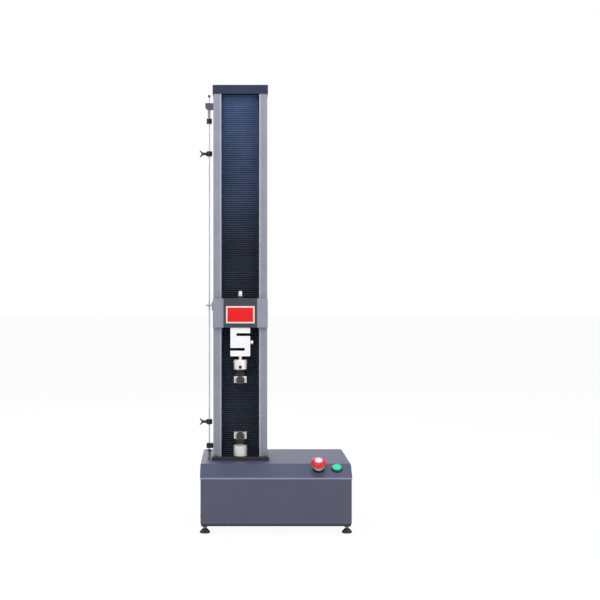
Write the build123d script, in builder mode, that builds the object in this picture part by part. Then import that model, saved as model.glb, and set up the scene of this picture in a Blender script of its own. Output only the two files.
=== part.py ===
from build123d import *
from math import acos, atan2, cos, sin
import os

# Single column universal testing machine, millimetres, +Z up, front towards -Y.
# The origin is on the floor, under the middle of the whole machine.

# Overall size
total_height = 1208.5
base_width = 404.0
base_depth = 370.0
load_axis_from_front = 127.0

# Clearances
running_clearance = 0.05
body_clearance = 0.3
overrun = 1.0

# Levelling feet
pad_radius = 13.5
pad_disc_height = 4.5
pad_height = 12.0
pad_neck_radius = 6.5
pad_socket_depth = 8.0
foot_stud_radius = 5.0
foot_stud_above_plate = 12.0
foot_lift_room = 5.0
lock_nut_height = 4.0
foot_from_side = 13.0
foot_from_end = 24.0

# Base sheet work
base_plate_thickness = 6.0
base_plate_inset = 3.0
base_plate_corner = 5.0
sheet = 1.5
bend_radius = 4.5
housing_height = 123.0
housing_flange = 14.0
lip_height = 4.5
cover_rise = 31.0
console_depth = 47.0
rear_panel_inset = 6.5
vent_length = 60.0
vent_height = 4.0
vent_pitch = 12.0
vent_count = 6
vent_from_left = 110.0

# Controls on the console
control_up_slope = 35.5
start_from_right = 39.3
estop_from_start = 49.5
control_barrel_radius = 11.0
control_barrel_depth = 14.0
control_nut_radius = 14.5
control_nut_height = 4.0
contact_block_width = 30.0
contact_block_height = 34.0
estop_base_radius = 16.0
estop_base_height = 4.0
estop_collar_low_radius = 12.5
estop_collar_radius = 15.5
estop_collar_height = 7.0
plunger_radius = 7.0
plunger_length = 22.0
plunger_in_head = 4.0
estop_press = 4.0
estop_head_radius = 20.0
estop_head_edge = 5.0
estop_head_top_radius = 12.0
start_bezel_radius = 15.0
start_bezel_height = 4.0
start_cap_radius = 12.0
start_cap_height = 7.5
start_stem_radius = 6.0
start_press = 2.5

# Inner frame of the base
frame_wall = 8.0
frame_top_thickness = 10.0
frame_front_overhang = 20.0
frame_window_radius = 42.0
belt_window_width = 64.0
belt_window_height = 44.0
shelf_thickness = 8.0
shelf_height_above_plate = 54.5
shelf_depth = 78.0
shelf_beyond_motor = 10.0

# Drive
load_axis_to_screw_depth = 90.0
screw_radius = 8.0
screw_below_plate = 142.0
screw_below_cap = 9.0
pulley_height = 16.0
pulley_flange = 1.6
pulley_flange_overhang = 2.4
pulley_below_shelf = 12.0
screw_pulley_radius = 38.2
screw_pulley_teeth = 48
motor_pulley_radius = 19.1
motor_pulley_teeth = 24
tooth_gap_width = 2.6
tooth_gap_depth = 1.4
belt_thickness = 2.2
belt_width = 11.0
motor_room_share = 0.775
motor_width = 60.0
motor_flange_thickness = 8.0
motor_body_width = 58.0
motor_body_height = 76.0
motor_corner = 6.0
motor_pilot_radius = 25.0
motor_pilot_depth = 3.0
motor_shaft_radius = 7.0
motor_shaft_in_body = 30.0
motor_plug_width = 22.0
motor_plug_depth = 9.0
motor_plug_height = 18.0
drive_width = 45.0
drive_depth = 150.0
drive_height = 118.0
drive_from_right = 16.0
drive_from_back = 28.0
fin_depth = 6.0
fin_pitch = 12.0
fin_count = 10

# Column
foot_plate_overhang = 4.5
foot_plate_thickness = 10.0
foot_plate_front = 18.0
foot_plate_back = 20.0
foot_plate_corner = 3.0
column_width = 148.0
column_depth = 150.0
load_axis_in_column = 2.0
column_wall = 8.0
front_flange_width = 22.0
front_flange_thickness = 10.0
rear_flange_width = 16.0
rear_flange_thickness = 8.0
back_plate_thickness = 10.0
groove_width = 1.2
groove_depth = 0.8
groove_pitch = 4.6
groove_count = 4
side_slot_width = 8.0
side_slot_depth = 2.5
profile_corner = 1.5
cap_height = 24.5
cap_overhang = 2.0
cap_wall = 9.0
cap_top = 6.0
cap_corner = 3.0

# Guides and screw bearings
rail_off_wall = 20.0
rail_width = 15.0
rail_height = 15.0
rail_neck_width = 10.0
rail_neck_low = 5.0
rail_neck_high = 10.0
rail_end_margin = 6.0
carriage_width = 34.0
carriage_length = 61.4
carriage_height = 24.0
carriage_off_base = 4.5
carriage_spacing_half = 33.0
bearing_block_off_rail = 8.5
bearing_block_height = 30.0
bearing_block_front = 22.0
bearing_radius = 16.0
bearing_height = 11.0
bearing_ring_wall = 3.0

# Crosshead
crosshead_bottom = 543.5
crosshead_height = 79.5
arm_overhang = 1.0
arm_flange_thickness = 12.0
arm_off_column = 3.0
arm_neck_gap = 4.0
arm_neck_wall = 14.0
arm_edge = 1.5
bracket_off_wall = 4.0
bracket_thickness = 32.0
bracket_extra_height = 20.5
bracket_bore_clearance = 2.0
cover_plate_width = 91.0
cover_plate_thickness = 2.5
cover_plate_edge = 0.5
nut_flange_radius = 24.0
nut_flange_thickness = 10.0
nut_body_radius = 14.0
nut_body_length = 40.0

# Load cell and load train
cell_width = 54.0
cell_height = 78.0
cell_thickness = 25.0
cell_slot_half = 3.9
cell_slot_end_radius = 4.2
cell_slot_from_end = 18.9
cell_upper_slot_from_axis = 11.2
cell_lower_slot_from_axis = 12.6
cell_edge = 1.0
gland_radius = 4.5
gland_length = 8.0
gland_below_top = 40.0
upper_stud_radius = 6.0
upper_stud_in_cell = 14.5
upper_stud_above_nut = 13.0
jam_nut_across_flats = 19.0
jam_nut_height = 7.5
lower_stud_radius = 5.0
lower_stud_in_cell = 12.0
cell_to_adapter = 9.8
adapter_radius = 18.6
adapter_height = 27.4
adapter_edge = 2.0
pin_radius = 4.75
pin_above_adapter_bottom = 7.5
pin_recess = 6.0
tang_width = 19.7
tang_thickness = 12.0
tang_side_clearance = 0.3
swing_clearance = 0.35
stud_off_slot = 0.9

# Grips
grip_width = 34.5
grip_leg_height = 17.0
grip_leg_thickness = 12.0
grip_bridge_width = 24.0
grip_bridge_height = 9.0
grip_front_from_axis = 26.0
grip_back_from_axis = 16.0
grip_edge = 1.0
upper_grip_below_pin = 42.4
jaw_width = 30.0
jaw_height = 16.0
jaw_thickness = 8.0
jaw_off_leg = 1.0
jaw_seat_depth = 4.0
clamp_screw_radius = 4.0
clamp_neck_radius = 3.0
knob_radius = 11.0
knob_length = 14.0
knob_off_leg = 10.0
knob_edge = 1.5
lower_adapter_radius = 18.4
lower_adapter_height = 31.7
lower_neck_radius = 10.5
lower_neck_height = 9.7
spigot_radius = 6.0
spigot_length = 20.0

# Bellows
bellows_half_width = 50.0
bellows_front_from_axis = 24.0
bellows_depth = 14.0
bellows_pitch = 6.0
bellows_wall = 4.0

# Limit rod
rod_off_arm = 11.0
rod_from_base_side = 21.0
rod_radius = 2.5
rod_behind_load_axis = 38.0
rod_bottom_above_plate = 113.5
rod_above_column = 1.3
rod_travel = 3.0
rod_hole_radius = 4.5
upper_guide_reach = 11.0
upper_guide_height = 18.0
upper_guide_below_top = 20.9
guide_depth = 14.0
lower_guide_reach = 7.4
lower_guide_height = 13.6
lower_guide_above_plate = 18.4
fixed_collar_radius = 7.5
fixed_collar_height = 13.9
upper_spring_length = 24.9
low_collar_radius = 6.0
low_collar_height = 5.0
low_collar_below_guide = 4.0
spring_outer_radius = 4.4
spring_wall = 1.4
spring_end_gap = 0.3
stop_radius = 8.5
stop_height = 14.0
upper_stop_below_guide = 128.8
lower_stop_above_guide = 52.2
stop_knob_reach = 27.0
wing_length = 12.0
wing_half_span = 9.0
wing_thickness = 3.0
wing_hub_radius = 4.0
wing_notch = 6.0
thumb_screw_radius = 2.5
striker_thickness = 4.0
striker_above_arm_bottom = 58.5
striker_tab_height = 24.0
striker_tab_thickness = 3.0
striker_width = 18.0
striker_eye_clearance = 1.5
switch_width = 18.0
switch_depth = 20.0
switch_height = 26.0
switch_plunger_radius = 2.0
switch_plunger_height = 2.0

# Rear sockets and mains rocker
inlet_from_right = 45.0
inlet_above_plate = 40.0
inlet_flange_width = 40.0
inlet_flange_height = 30.0
inlet_flange_thickness = 2.5
inlet_width = 28.0
inlet_height = 22.0
inlet_depth = 20.0
inlet_wall = 2.5
inlet_socket_depth = 15.0
rocker_above_plate = 84.0
rocker_radius = 9.5
rocker_width = 12.0
rocker_face_from_axis = 5.0
rocker_tilt = 10.0
rocker_pin_radius = 1.5
rocker_pin_length = 1.2
bezel_border = 4.0
bezel_thickness = 3.0
bezel_depth = 16.0
data_from_inlet = 60.0
data_flange_width = 31.0
data_flange_height = 12.5
data_flange_thickness = 1.5
data_shell_width = 17.0
data_shell_height = 8.0
data_shell_depth = 4.0
data_shell_side_angle = 80
data_body_depth = 10.0

# Places worked out from the sizes above
arm_width = column_width + 2 * arm_overhang
rod_from_load_axis = arm_width / 2 + rod_off_arm
left_reach = rod_from_load_axis + stop_knob_reach
load_axis_from_left = rod_from_load_axis + rod_from_base_side
right_reach = base_width - load_axis_from_left
load_x = (left_reach - right_reach) / 2
foot_plate_width = column_width + 2 * foot_plate_overhang
arm_neck_width = column_width - 2 * (front_flange_width + arm_neck_gap)
bracket_width = column_width - 2 * (column_wall + bracket_off_wall)
rail_gauge_half = column_width / 2 - column_wall - rail_off_wall
bearing_block_width = 2 * rail_gauge_half - rail_width - 2 * bearing_block_off_rail
base_mid_x = load_x - load_axis_from_left + base_width / 2
base_left = base_mid_x - base_width / 2
base_right = base_mid_x + base_width / 2
base_front = -base_depth / 2
base_back = base_depth / 2
load_y = base_front + load_axis_from_front
base_plate_bottom = pad_height + foot_lift_room + lock_nut_height
base_plate_top = base_plate_bottom + base_plate_thickness
housing_top = base_plate_top + housing_height
cover_top = housing_top + cover_rise
foot_plate_top = cover_top + foot_plate_thickness
column_front = load_y - load_axis_in_column
column_back = column_front + column_depth
column_top = total_height - cap_height
column_height = column_top - foot_plate_top
screw_y = load_y + load_axis_to_screw_depth
back_plate_rear = column_back - rear_flange_thickness
back_plate_front = back_plate_rear - back_plate_thickness
crosshead_top = crosshead_bottom + crosshead_height
crosshead_mid = crosshead_bottom + crosshead_height / 2
arm_back = column_front - arm_off_column
arm_front = arm_back - arm_flange_thickness
bracket_back = back_plate_front - carriage_height
bracket_front = bracket_back - bracket_thickness
cell_bottom = crosshead_bottom - cell_height
adapter_top = cell_bottom - cell_to_adapter
adapter_bottom = adapter_top - adapter_height
pin_z = adapter_bottom + pin_above_adapter_bottom
tang_radius = tang_width / 2
slot_roof = pin_z + tang_radius + swing_clearance
upper_grip_bottom = pin_z - upper_grip_below_pin
upper_grip_mid = upper_grip_bottom + grip_leg_height / 2
lower_neck_top = foot_plate_top + lower_adapter_height + lower_neck_height
lower_grip_mid = lower_neck_top + grip_bridge_height + grip_leg_height / 2
grip_front = load_y - grip_front_from_axis
grip_back = load_y + grip_back_from_axis
front_leg_back = grip_front + grip_leg_thickness
back_leg_front = grip_back - grip_leg_thickness
jaw_front = front_leg_back + jaw_off_leg
knob_back = grip_front - knob_off_leg
rod_x = load_x - rod_from_load_axis
rod_y = load_y + rod_behind_load_axis
rod_bottom = base_plate_top + rod_bottom_above_plate
rod_top = column_top + rod_above_column
upper_guide_top = column_top - upper_guide_below_top
upper_guide_bottom = upper_guide_top - upper_guide_height
lower_guide_bottom = foot_plate_top + lower_guide_above_plate
lower_guide_top = lower_guide_bottom + lower_guide_height
fixed_collar_top = upper_guide_bottom - upper_spring_length
fixed_collar_bottom = fixed_collar_top - fixed_collar_height
low_collar_top = lower_guide_bottom - low_collar_below_guide
low_collar_bottom = low_collar_top - low_collar_height
upper_stop_low = upper_guide_bottom - upper_stop_below_guide
lower_stop_low = lower_guide_top + lower_stop_above_guide
column_side = load_x - column_width / 2
shelf_bottom = base_plate_top + shelf_height_above_plate
shelf_top = shelf_bottom + shelf_thickness
drive_right = base_right - 2 * sheet - drive_from_right
frame_left = load_x - column_width / 2
frame_right = load_x + column_width / 2
motor_room = drive_right - drive_width - frame_right - motor_width - shelf_beyond_motor
motor_x = frame_right + motor_room_share * motor_room + motor_width / 2
motor_from_screw = motor_x - load_x
pulley_top = shelf_bottom - pulley_below_shelf
pulley_bottom = pulley_top - pulley_height
panel_outside = base_back - rear_panel_inset
console_angle = atan2(cover_rise, console_depth)
start_x = base_right - start_from_right
estop_x = start_x - estop_from_start
inlet_x = base_right - inlet_from_right
inlet_z = base_plate_top + inlet_above_plate
rocker_z = base_plate_top + rocker_above_plate
data_x = inlet_x - data_from_inlet
foot_places = {
    "front_left": (base_left + foot_from_side, base_front + foot_from_end),
    "front_right": (base_right - foot_from_side, base_front + foot_from_end),
    "rear_left": (base_left + foot_from_side, base_back - foot_from_end),
    "rear_right": (base_right - foot_from_side, base_back - foot_from_end),
}

os.makedirs("parts", exist_ok=True)


def save(builder, name):
    """Label a finished piece and write its STEP file."""
    builder.part.label = name
    export_step(builder.part, f"parts/{name}.step")


def block(x_low, x_high, y_low, y_high, z_low, z_high, mode=Mode.ADD):
    """A plain block between six faces, in the open part."""
    with BuildSketch(Plane.XY.offset(z_low)) as outline:
        with Locations(((x_low + x_high) / 2, (y_low + y_high) / 2)):
            Rectangle(x_high - x_low, y_high - y_low)
    extrude(outline.sketch, amount=z_high - z_low, mode=mode)


def upright(x, y):
    """The plane through the vertical line at x, y, with radii to the right and heights up."""
    return Plane(origin=(x, y, 0), x_dir=(1, 0, 0), z_dir=(0, -1, 0))


def from_front(y):
    """The plane that faces the front at y, drawn in X and Z; extruding goes towards the front."""
    return Plane(origin=(0, y, 0), x_dir=(1, 0, 0), z_dir=(0, -1, 0))


def along_y(x, y, z):
    """The plane through a line along Y, with radii to the right and lengths towards the back."""
    return Plane(origin=(x, y, z), x_dir=(1, 0, 0), z_dir=(0, 0, 1))


def turn(points, plane, mode=Mode.ADD):
    """Turn an outline of (radius, length) points about the plane's own Y line."""
    with BuildSketch(plane) as outline:
        with BuildLine():
            Polyline(*points, close=True)
        make_face()
    revolve(outline.sketch, axis=Axis(plane.origin, plane.y_dir), mode=mode)


def rod_between(x, y, z_low, z_high, radius, mode=Mode.ADD):
    """A vertical round bar or bore."""
    with BuildSketch(Plane.XY.offset(z_low)) as outline:
        with Locations((x, y)):
            Circle(radius)
    extrude(outline.sketch, amount=z_high - z_low, mode=mode)


def on_console(x):
    """The plane on the sloped console at x: X to the right, Y up the line that leaves the panel."""
    origin = (
        x,
        base_front + control_up_slope * cos(console_angle),
        housing_top + control_up_slope * sin(console_angle),
    )
    return Plane(
        origin=origin,
        x_dir=(1, 0, 0),
        z_dir=(0, -cos(console_angle), -sin(console_angle)),
    )


# Levelling feet: each pad slides up and down while its stud turns
for corner, (foot_x, foot_y) in foot_places.items():
    with BuildPart() as foot_pad:
        turn(
            [
                (0, 0),
                (pad_radius, 0),
                (pad_radius, pad_disc_height),
                (pad_neck_radius, pad_height),
                (foot_stud_radius + running_clearance, pad_height),
                (foot_stud_radius + running_clearance, pad_height - pad_socket_depth),
                (0, pad_height - pad_socket_depth),
            ],
            upright(foot_x, foot_y),
        )
        chamfer(foot_pad.edges().filter_by(GeomType.CIRCLE).group_by(Axis.Z)[0], sheet / 2)
    save(foot_pad, f"{corner}_foot_pad")

    with BuildPart() as foot_stud:
        rod_between(
            foot_x,
            foot_y,
            pad_height - pad_socket_depth,
            base_plate_top + foot_stud_above_plate,
            foot_stud_radius,
        )
        chamfer(foot_stud.edges().group_by(Axis.Z)[-1], sheet / 2)
    save(foot_stud, f"{corner}_foot_stud")

# Bottom plate
with BuildPart() as base_plate:
    with BuildSketch(Plane.XY.offset(base_plate_bottom)):
        with Locations((base_mid_x, 0)):
            RectangleRounded(
                base_width - 2 * base_plate_inset,
                base_depth - 2 * base_plate_inset,
                base_plate_corner,
            )
        with Locations(*foot_places.values()):
            Circle(foot_stud_radius + running_clearance, mode=Mode.SUBTRACT)
    extrude(amount=base_plate_thickness)
save(base_plate, "base_plate")

# Lower housing: one folded sheet, open at the top and the back
with BuildPart() as base_housing:
    with BuildSketch(Plane.XY.offset(base_plate_top)):
        with BuildLine():
            Polyline(
                (base_left + sheet, base_back),
                (base_left + sheet, base_front + sheet),
                (base_right - sheet, base_front + sheet),
                (base_right - sheet, base_back),
                (base_right - 2 * sheet, base_back),
                (base_right - 2 * sheet, base_front + 2 * sheet),
                (base_left + 2 * sheet, base_front + 2 * sheet),
                (base_left + 2 * sheet, base_back),
                close=True,
            )
        make_face()
    extrude(amount=housing_height - sheet)
    with BuildSketch(Plane.XY.offset(base_plate_top)):
        with Locations((base_mid_x, 0)):
            Rectangle(base_width - 3 * sheet, base_depth - 3 * sheet)
        with Locations((base_mid_x, housing_flange / 2)):
            Rectangle(
                base_width - 3 * sheet - 2 * housing_flange,
                base_depth - 2 * housing_flange,
                mode=Mode.SUBTRACT,
            )
        with Locations((base_mid_x, base_back - rear_panel_inset)):
            Rectangle(base_width, 2 * rear_panel_inset, mode=Mode.SUBTRACT)
        with Locations(*foot_places.values()):
            Circle(foot_stud_radius + body_clearance, mode=Mode.SUBTRACT)
    extrude(amount=sheet)
    front_bends = (
        base_housing.edges()
        .filter_by(Axis.Z)
        .filter_by_position(Axis.Y, base_front, base_front + sheet + running_clearance)
    )
    fillet(front_bends, bend_radius)
save(base_housing, "base_housing")

# Upper cover: the sloped console, the top and a lip over the housing
with BuildPart() as base_cover:
    with BuildSketch(Plane.YZ.offset(base_left)):
        with BuildLine():
            Polyline(
                (base_front, housing_top - lip_height),
                (base_front, housing_top),
                (base_front + console_depth, cover_top),
                (base_back, cover_top),
                (base_back, housing_top - lip_height),
                close=True,
            )
        make_face()
    extrude(amount=base_width)
    slope_edges = base_cover.faces().filter_by(Axis.X).edges().filter_by(
        lambda edge: abs(edge.tangent_at(0).Y * edge.tangent_at(0).Z) > sin(console_angle) / 2
    )
    fillet(
        base_cover.edges().filter_by(Axis.Y).group_by(Axis.Z)[-1]
        + slope_edges
        + base_cover.edges().filter_by(Axis.Z).group_by(Axis.Y)[0],
        bend_radius,
    )
    offset(
        amount=-sheet,
        openings=[
            base_cover.faces().sort_by(Axis.Z)[0],
            base_cover.faces().sort_by(Axis.Y)[-1],
        ],
    )
    for control_x in (estop_x, start_x):
        turn(
            [
                (0, -2 * sheet),
                (control_barrel_radius + running_clearance, -2 * sheet),
                (control_barrel_radius + running_clearance, overrun),
                (0, overrun),
            ],
            on_console(control_x),
            mode=Mode.SUBTRACT,
        )
    for hole_x, hole_y, hole_radius in (
        (load_x, screw_y, screw_radius + 3 * bracket_bore_clearance),
        (rod_x, rod_y, rod_hole_radius),
    ):
        rod_between(
            hole_x,
            hole_y,
            cover_top - 2 * sheet,
            cover_top + overrun,
            hole_radius,
            mode=Mode.SUBTRACT,
        )
save(base_cover, "base_cover")

# Rear panel with vents and cut-outs
with BuildPart() as rear_panel:
    with BuildSketch(from_front(panel_outside)):
        with Locations((base_mid_x, (base_plate_top + cover_top - sheet) / 2)):
            Rectangle(base_width - 4 * sheet, cover_top - sheet - base_plate_top)
        with Locations(
            *[
                (base_left + vent_from_left, inlet_z + vent_pitch * row)
                for row in range(vent_count)
            ]
        ):
            SlotOverall(vent_length, vent_height, mode=Mode.SUBTRACT)
        with Locations((inlet_x, inlet_z)):
            Rectangle(inlet_width, inlet_height, mode=Mode.SUBTRACT)
        with Locations((inlet_x, rocker_z)):
            Rectangle(
                rocker_width + 2 * bezel_border - sheet,
                2 * rocker_radius + 2 * bezel_border - sheet,
                mode=Mode.SUBTRACT,
            )
        with Locations((data_x, inlet_z)):
            Rectangle(data_shell_width, data_shell_height, mode=Mode.SUBTRACT)
    extrude(amount=sheet)
    fillet(rear_panel.edges().filter_by(Axis.Y).group_by(Axis.Z)[-1], bend_radius)
save(rear_panel, "rear_panel")

# Mains inlet, rocker bezel and data socket on the rear panel
with BuildPart() as rear_sockets:
    with BuildSketch(from_front(panel_outside)):
        with Locations((inlet_x, inlet_z)):
            RectangleRounded(inlet_flange_width, inlet_flange_height, inlet_wall)
    extrude(amount=-inlet_flange_thickness)
    with BuildSketch(from_front(panel_outside)):
        with Locations((inlet_x, inlet_z)):
            Rectangle(inlet_width, inlet_height)
    extrude(amount=inlet_depth)
    with BuildSketch(from_front(panel_outside + inlet_flange_thickness)):
        with Locations((inlet_x, inlet_z)):
            Rectangle(inlet_width - 2 * inlet_wall, inlet_height - 2 * inlet_wall)
    extrude(amount=inlet_socket_depth, mode=Mode.SUBTRACT)
    with BuildSketch(from_front(panel_outside)):
        with Locations((inlet_x, rocker_z)):
            RectangleRounded(
                rocker_width + 2 * bezel_border + bezel_thickness,
                2 * rocker_radius + 2 * bezel_border + bezel_thickness,
                bezel_thickness / 2,
            )
    extrude(amount=-bezel_thickness)
    with BuildSketch(from_front(panel_outside)):
        with Locations((inlet_x, rocker_z)):
            Rectangle(
                rocker_width + 2 * bezel_border - sheet,
                2 * rocker_radius + 2 * bezel_border - sheet,
            )
    extrude(amount=bezel_depth)
    with BuildSketch(from_front(panel_outside + bezel_thickness)):
        with Locations((inlet_x, rocker_z)):
            Rectangle(
                rocker_width + 2 * body_clearance,
                2 * rocker_radius + 2 * body_clearance,
            )
    extrude(amount=bezel_thickness + bezel_depth - sheet, mode=Mode.SUBTRACT)
    with BuildSketch(Plane.YZ.offset(inlet_x - rocker_width / 2 - rocker_pin_length)):
        with Locations((panel_outside, rocker_z)):
            Circle(rocker_pin_radius + running_clearance)
    extrude(amount=rocker_width + 2 * rocker_pin_length, mode=Mode.SUBTRACT)
    with BuildSketch(from_front(panel_outside)):
        with Locations((data_x, inlet_z)):
            Rectangle(data_flange_width, data_flange_height)
    extrude(amount=-data_flange_thickness)
    with BuildSketch(from_front(panel_outside)):
        with Locations((data_x, inlet_z)):
            Trapezoid(data_shell_width, data_shell_height, data_shell_side_angle, rotation=180)
    extrude(amount=-data_shell_depth)
    with BuildSketch(from_front(panel_outside)):
        with Locations((data_x, inlet_z)):
            Rectangle(data_shell_width, data_shell_height)
    extrude(amount=data_body_depth)
save(rear_sockets, "rear_sockets")

# Mains rocker: a round-backed key on two short pins
with BuildPart() as mains_rocker:
    with BuildSketch(Plane.YZ.offset(inlet_x - rocker_width / 2)):
        with Locations((panel_outside, rocker_z)):
            Circle(rocker_radius)
        with Locations(Location((panel_outside + rocker_face_from_axis, rocker_z), rocker_tilt)):
            Rectangle(
                rocker_radius,
                3 * rocker_radius,
                align=(Align.MIN, Align.CENTER),
                mode=Mode.SUBTRACT,
            )
    extrude(amount=rocker_width)
    with BuildSketch(
        Plane.YZ.offset(inlet_x - rocker_width / 2 - rocker_pin_length + running_clearance)
    ):
        with Locations((panel_outside, rocker_z)):
            Circle(rocker_pin_radius)
    extrude(amount=rocker_width + 2 * rocker_pin_length - 2 * running_clearance)
save(mains_rocker, "mains_rocker")

# Emergency stop: fixed collar with its barrel and contact block under the console
estop_plane = on_console(estop_x)
collar_top = estop_base_height + estop_collar_height
block_top = -sheet - control_nut_height
with BuildPart() as estop_collar:
    turn(
        [
            (0, -control_barrel_depth),
            (control_barrel_radius, -control_barrel_depth),
            (control_barrel_radius, 0),
            (estop_base_radius, 0),
            (estop_base_radius, estop_base_height),
            (estop_collar_low_radius, estop_base_height),
            (estop_collar_radius, collar_top),
            (plunger_radius + running_clearance, collar_top),
            (plunger_radius + running_clearance, -control_barrel_depth + sheet),
            (0, -control_barrel_depth + sheet),
        ],
        estop_plane,
    )
    turn(
        [
            (control_barrel_radius, -sheet - control_nut_height),
            (control_nut_radius, -sheet - control_nut_height),
            (control_nut_radius, -sheet),
            (control_barrel_radius, -sheet),
        ],
        estop_plane,
    )
    estop_block_plane = Plane(
        origin=estop_plane.origin - estop_plane.y_dir * control_barrel_depth,
        x_dir=(1, 0, 0),
        z_dir=-estop_plane.y_dir,
    )
    with BuildSketch(estop_block_plane):
        Rectangle(contact_block_width, contact_block_width)
    extrude(amount=contact_block_height)
save(estop_collar, "estop_collar")

head_bottom = collar_top + estop_press + overrun
with BuildPart() as estop_plunger:
    turn(
        [
            (0, head_bottom + plunger_in_head - plunger_length),
            (plunger_radius, head_bottom + plunger_in_head - plunger_length),
            (plunger_radius, head_bottom + plunger_in_head),
            (0, head_bottom + plunger_in_head),
        ],
        estop_plane,
    )
save(estop_plunger, "estop_plunger")

with BuildPart() as estop_head:
    with BuildSketch(estop_plane):
        with BuildLine():
            dome = JernArc(
                start=(estop_head_radius, head_bottom + estop_head_edge),
                tangent=(0, 1),
                radius=estop_head_radius - estop_head_top_radius,
                arc_size=90,
            )
            Polyline(
                dome @ 1,
                (0, (dome @ 1).Y),
                (0, head_bottom + plunger_in_head),
                (plunger_radius + running_clearance, head_bottom + plunger_in_head),
                (plunger_radius + running_clearance, head_bottom),
                (estop_collar_radius, head_bottom),
                dome @ 0,
            )
        make_face()
    revolve(axis=Axis(estop_plane.origin, estop_plane.y_dir))
save(estop_head, "estop_head")

# Start button
start_plane = on_console(start_x)
with BuildPart() as start_bezel:
    turn(
        [
            (0, -control_barrel_depth),
            (control_barrel_radius, -control_barrel_depth),
            (control_barrel_radius, 0),
            (start_bezel_radius, 0),
            (start_bezel_radius, start_bezel_height - sheet),
            (start_bezel_radius - sheet, start_bezel_height),
            (start_cap_radius + body_clearance, start_bezel_height),
            (start_cap_radius + body_clearance, sheet),
            (start_stem_radius + running_clearance, sheet),
            (start_stem_radius + running_clearance, -control_barrel_depth + sheet),
            (0, -control_barrel_depth + sheet),
        ],
        start_plane,
    )
    turn(
        [
            (control_barrel_radius, -sheet - control_nut_height),
            (control_nut_radius, -sheet - control_nut_height),
            (control_nut_radius, -sheet),
            (control_barrel_radius, -sheet),
        ],
        start_plane,
    )
    start_block_plane = Plane(
        origin=start_plane.origin - start_plane.y_dir * control_barrel_depth,
        x_dir=(1, 0, 0),
        z_dir=-start_plane.y_dir,
    )
    with BuildSketch(start_block_plane):
        Rectangle(contact_block_width, contact_block_width)
    extrude(amount=contact_block_height)
save(start_bezel, "start_bezel")

with BuildPart() as start_button:
    turn(
        [
            (0, -control_barrel_depth + sheet + start_press + overrun),
            (start_stem_radius, -control_barrel_depth + sheet + start_press + overrun),
            (start_stem_radius, sheet + start_press + overrun),
            (start_cap_radius, sheet + start_press + overrun),
            (start_cap_radius, start_cap_height - sheet),
            (start_cap_radius - sheet, start_cap_height),
            (0, start_cap_height),
        ],
        start_plane,
    )
save(start_button, "start_button")

# Inner frame: welded portal under the column with the motor shelf
frame_front = column_front - frame_front_overhang
frame_back = column_back + foot_plate_back
frame_top = cover_top - sheet
shelf_right = motor_x + motor_width / 2 + shelf_beyond_motor
with BuildPart() as base_frame:
    with BuildSketch(from_front(frame_back)):
        with BuildLine():
            Polyline(
                (frame_left, base_plate_top),
                (frame_left, frame_top),
                (frame_right, frame_top),
                (frame_right, base_plate_top),
                (frame_right - frame_wall, base_plate_top),
                (frame_right - frame_wall, frame_top - frame_top_thickness),
                (frame_left + frame_wall, frame_top - frame_top_thickness),
                (frame_left + frame_wall, base_plate_top),
                close=True,
            )
        make_face()
    extrude(amount=frame_back - frame_front)
    with BuildSketch(Plane.YZ.offset(frame_left - overrun)):
        with Locations((load_y, (base_plate_top + frame_top) / 2)):
            Circle(frame_window_radius)
    extrude(amount=column_width + 2 * overrun, mode=Mode.SUBTRACT)
    with BuildSketch(Plane.YZ.offset(load_x)):
        with Locations((screw_y, pulley_bottom + pulley_height / 2)):
            Rectangle(2 * screw_pulley_radius + belt_window_width / 4, belt_window_height)
    extrude(amount=column_width, mode=Mode.SUBTRACT)
    block(
        frame_right - frame_wall,
        shelf_right,
        screw_y - shelf_depth / 2,
        screw_y + shelf_depth / 2,
        shelf_bottom,
        shelf_top,
    )
    block(
        shelf_right - frame_wall,
        shelf_right,
        screw_y - shelf_depth / 2,
        screw_y + shelf_depth / 2,
        base_plate_top,
        shelf_bottom,
    )
    rod_between(
        motor_x,
        screw_y,
        shelf_bottom - overrun,
        shelf_top + overrun,
        motor_pilot_radius,
        mode=Mode.SUBTRACT,
    )
    rod_between(
        load_x,
        screw_y,
        frame_top - frame_top_thickness - overrun,
        frame_top + overrun,
        screw_radius + 2 * bracket_bore_clearance,
        mode=Mode.SUBTRACT,
    )
save(base_frame, "base_frame")

# Servo motor on the shelf
with BuildPart() as servo_motor:
    with BuildSketch(Plane.XY.offset(shelf_top)):
        with Locations((motor_x, screw_y)):
            RectangleRounded(motor_width, motor_width, motor_corner)
    extrude(amount=motor_flange_thickness)
    with BuildSketch(Plane.XY.offset(shelf_top + motor_flange_thickness)):
        with Locations((motor_x, screw_y)):
            RectangleRounded(motor_body_width, motor_body_width, motor_corner)
    extrude(amount=motor_body_height)
    chamfer(servo_motor.faces().sort_by(Axis.Z)[-1].edges(), sheet)
    rod_between(motor_x, screw_y, shelf_top - motor_pilot_depth, shelf_top, motor_pilot_radius)
    block(
        motor_x - motor_plug_width / 2,
        motor_x + motor_plug_width / 2,
        screw_y - motor_body_width / 2 - motor_plug_depth,
        screw_y - motor_body_width / 2,
        shelf_top + motor_flange_thickness + motor_body_height - 2 * motor_plug_height,
        shelf_top + motor_flange_thickness + motor_body_height - motor_plug_height,
    )
    rod_between(
        motor_x,
        screw_y,
        shelf_top - motor_pilot_depth - overrun,
        shelf_top + motor_shaft_in_body,
        motor_shaft_radius + running_clearance,
        mode=Mode.SUBTRACT,
    )
save(servo_motor, "servo_motor")


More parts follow.
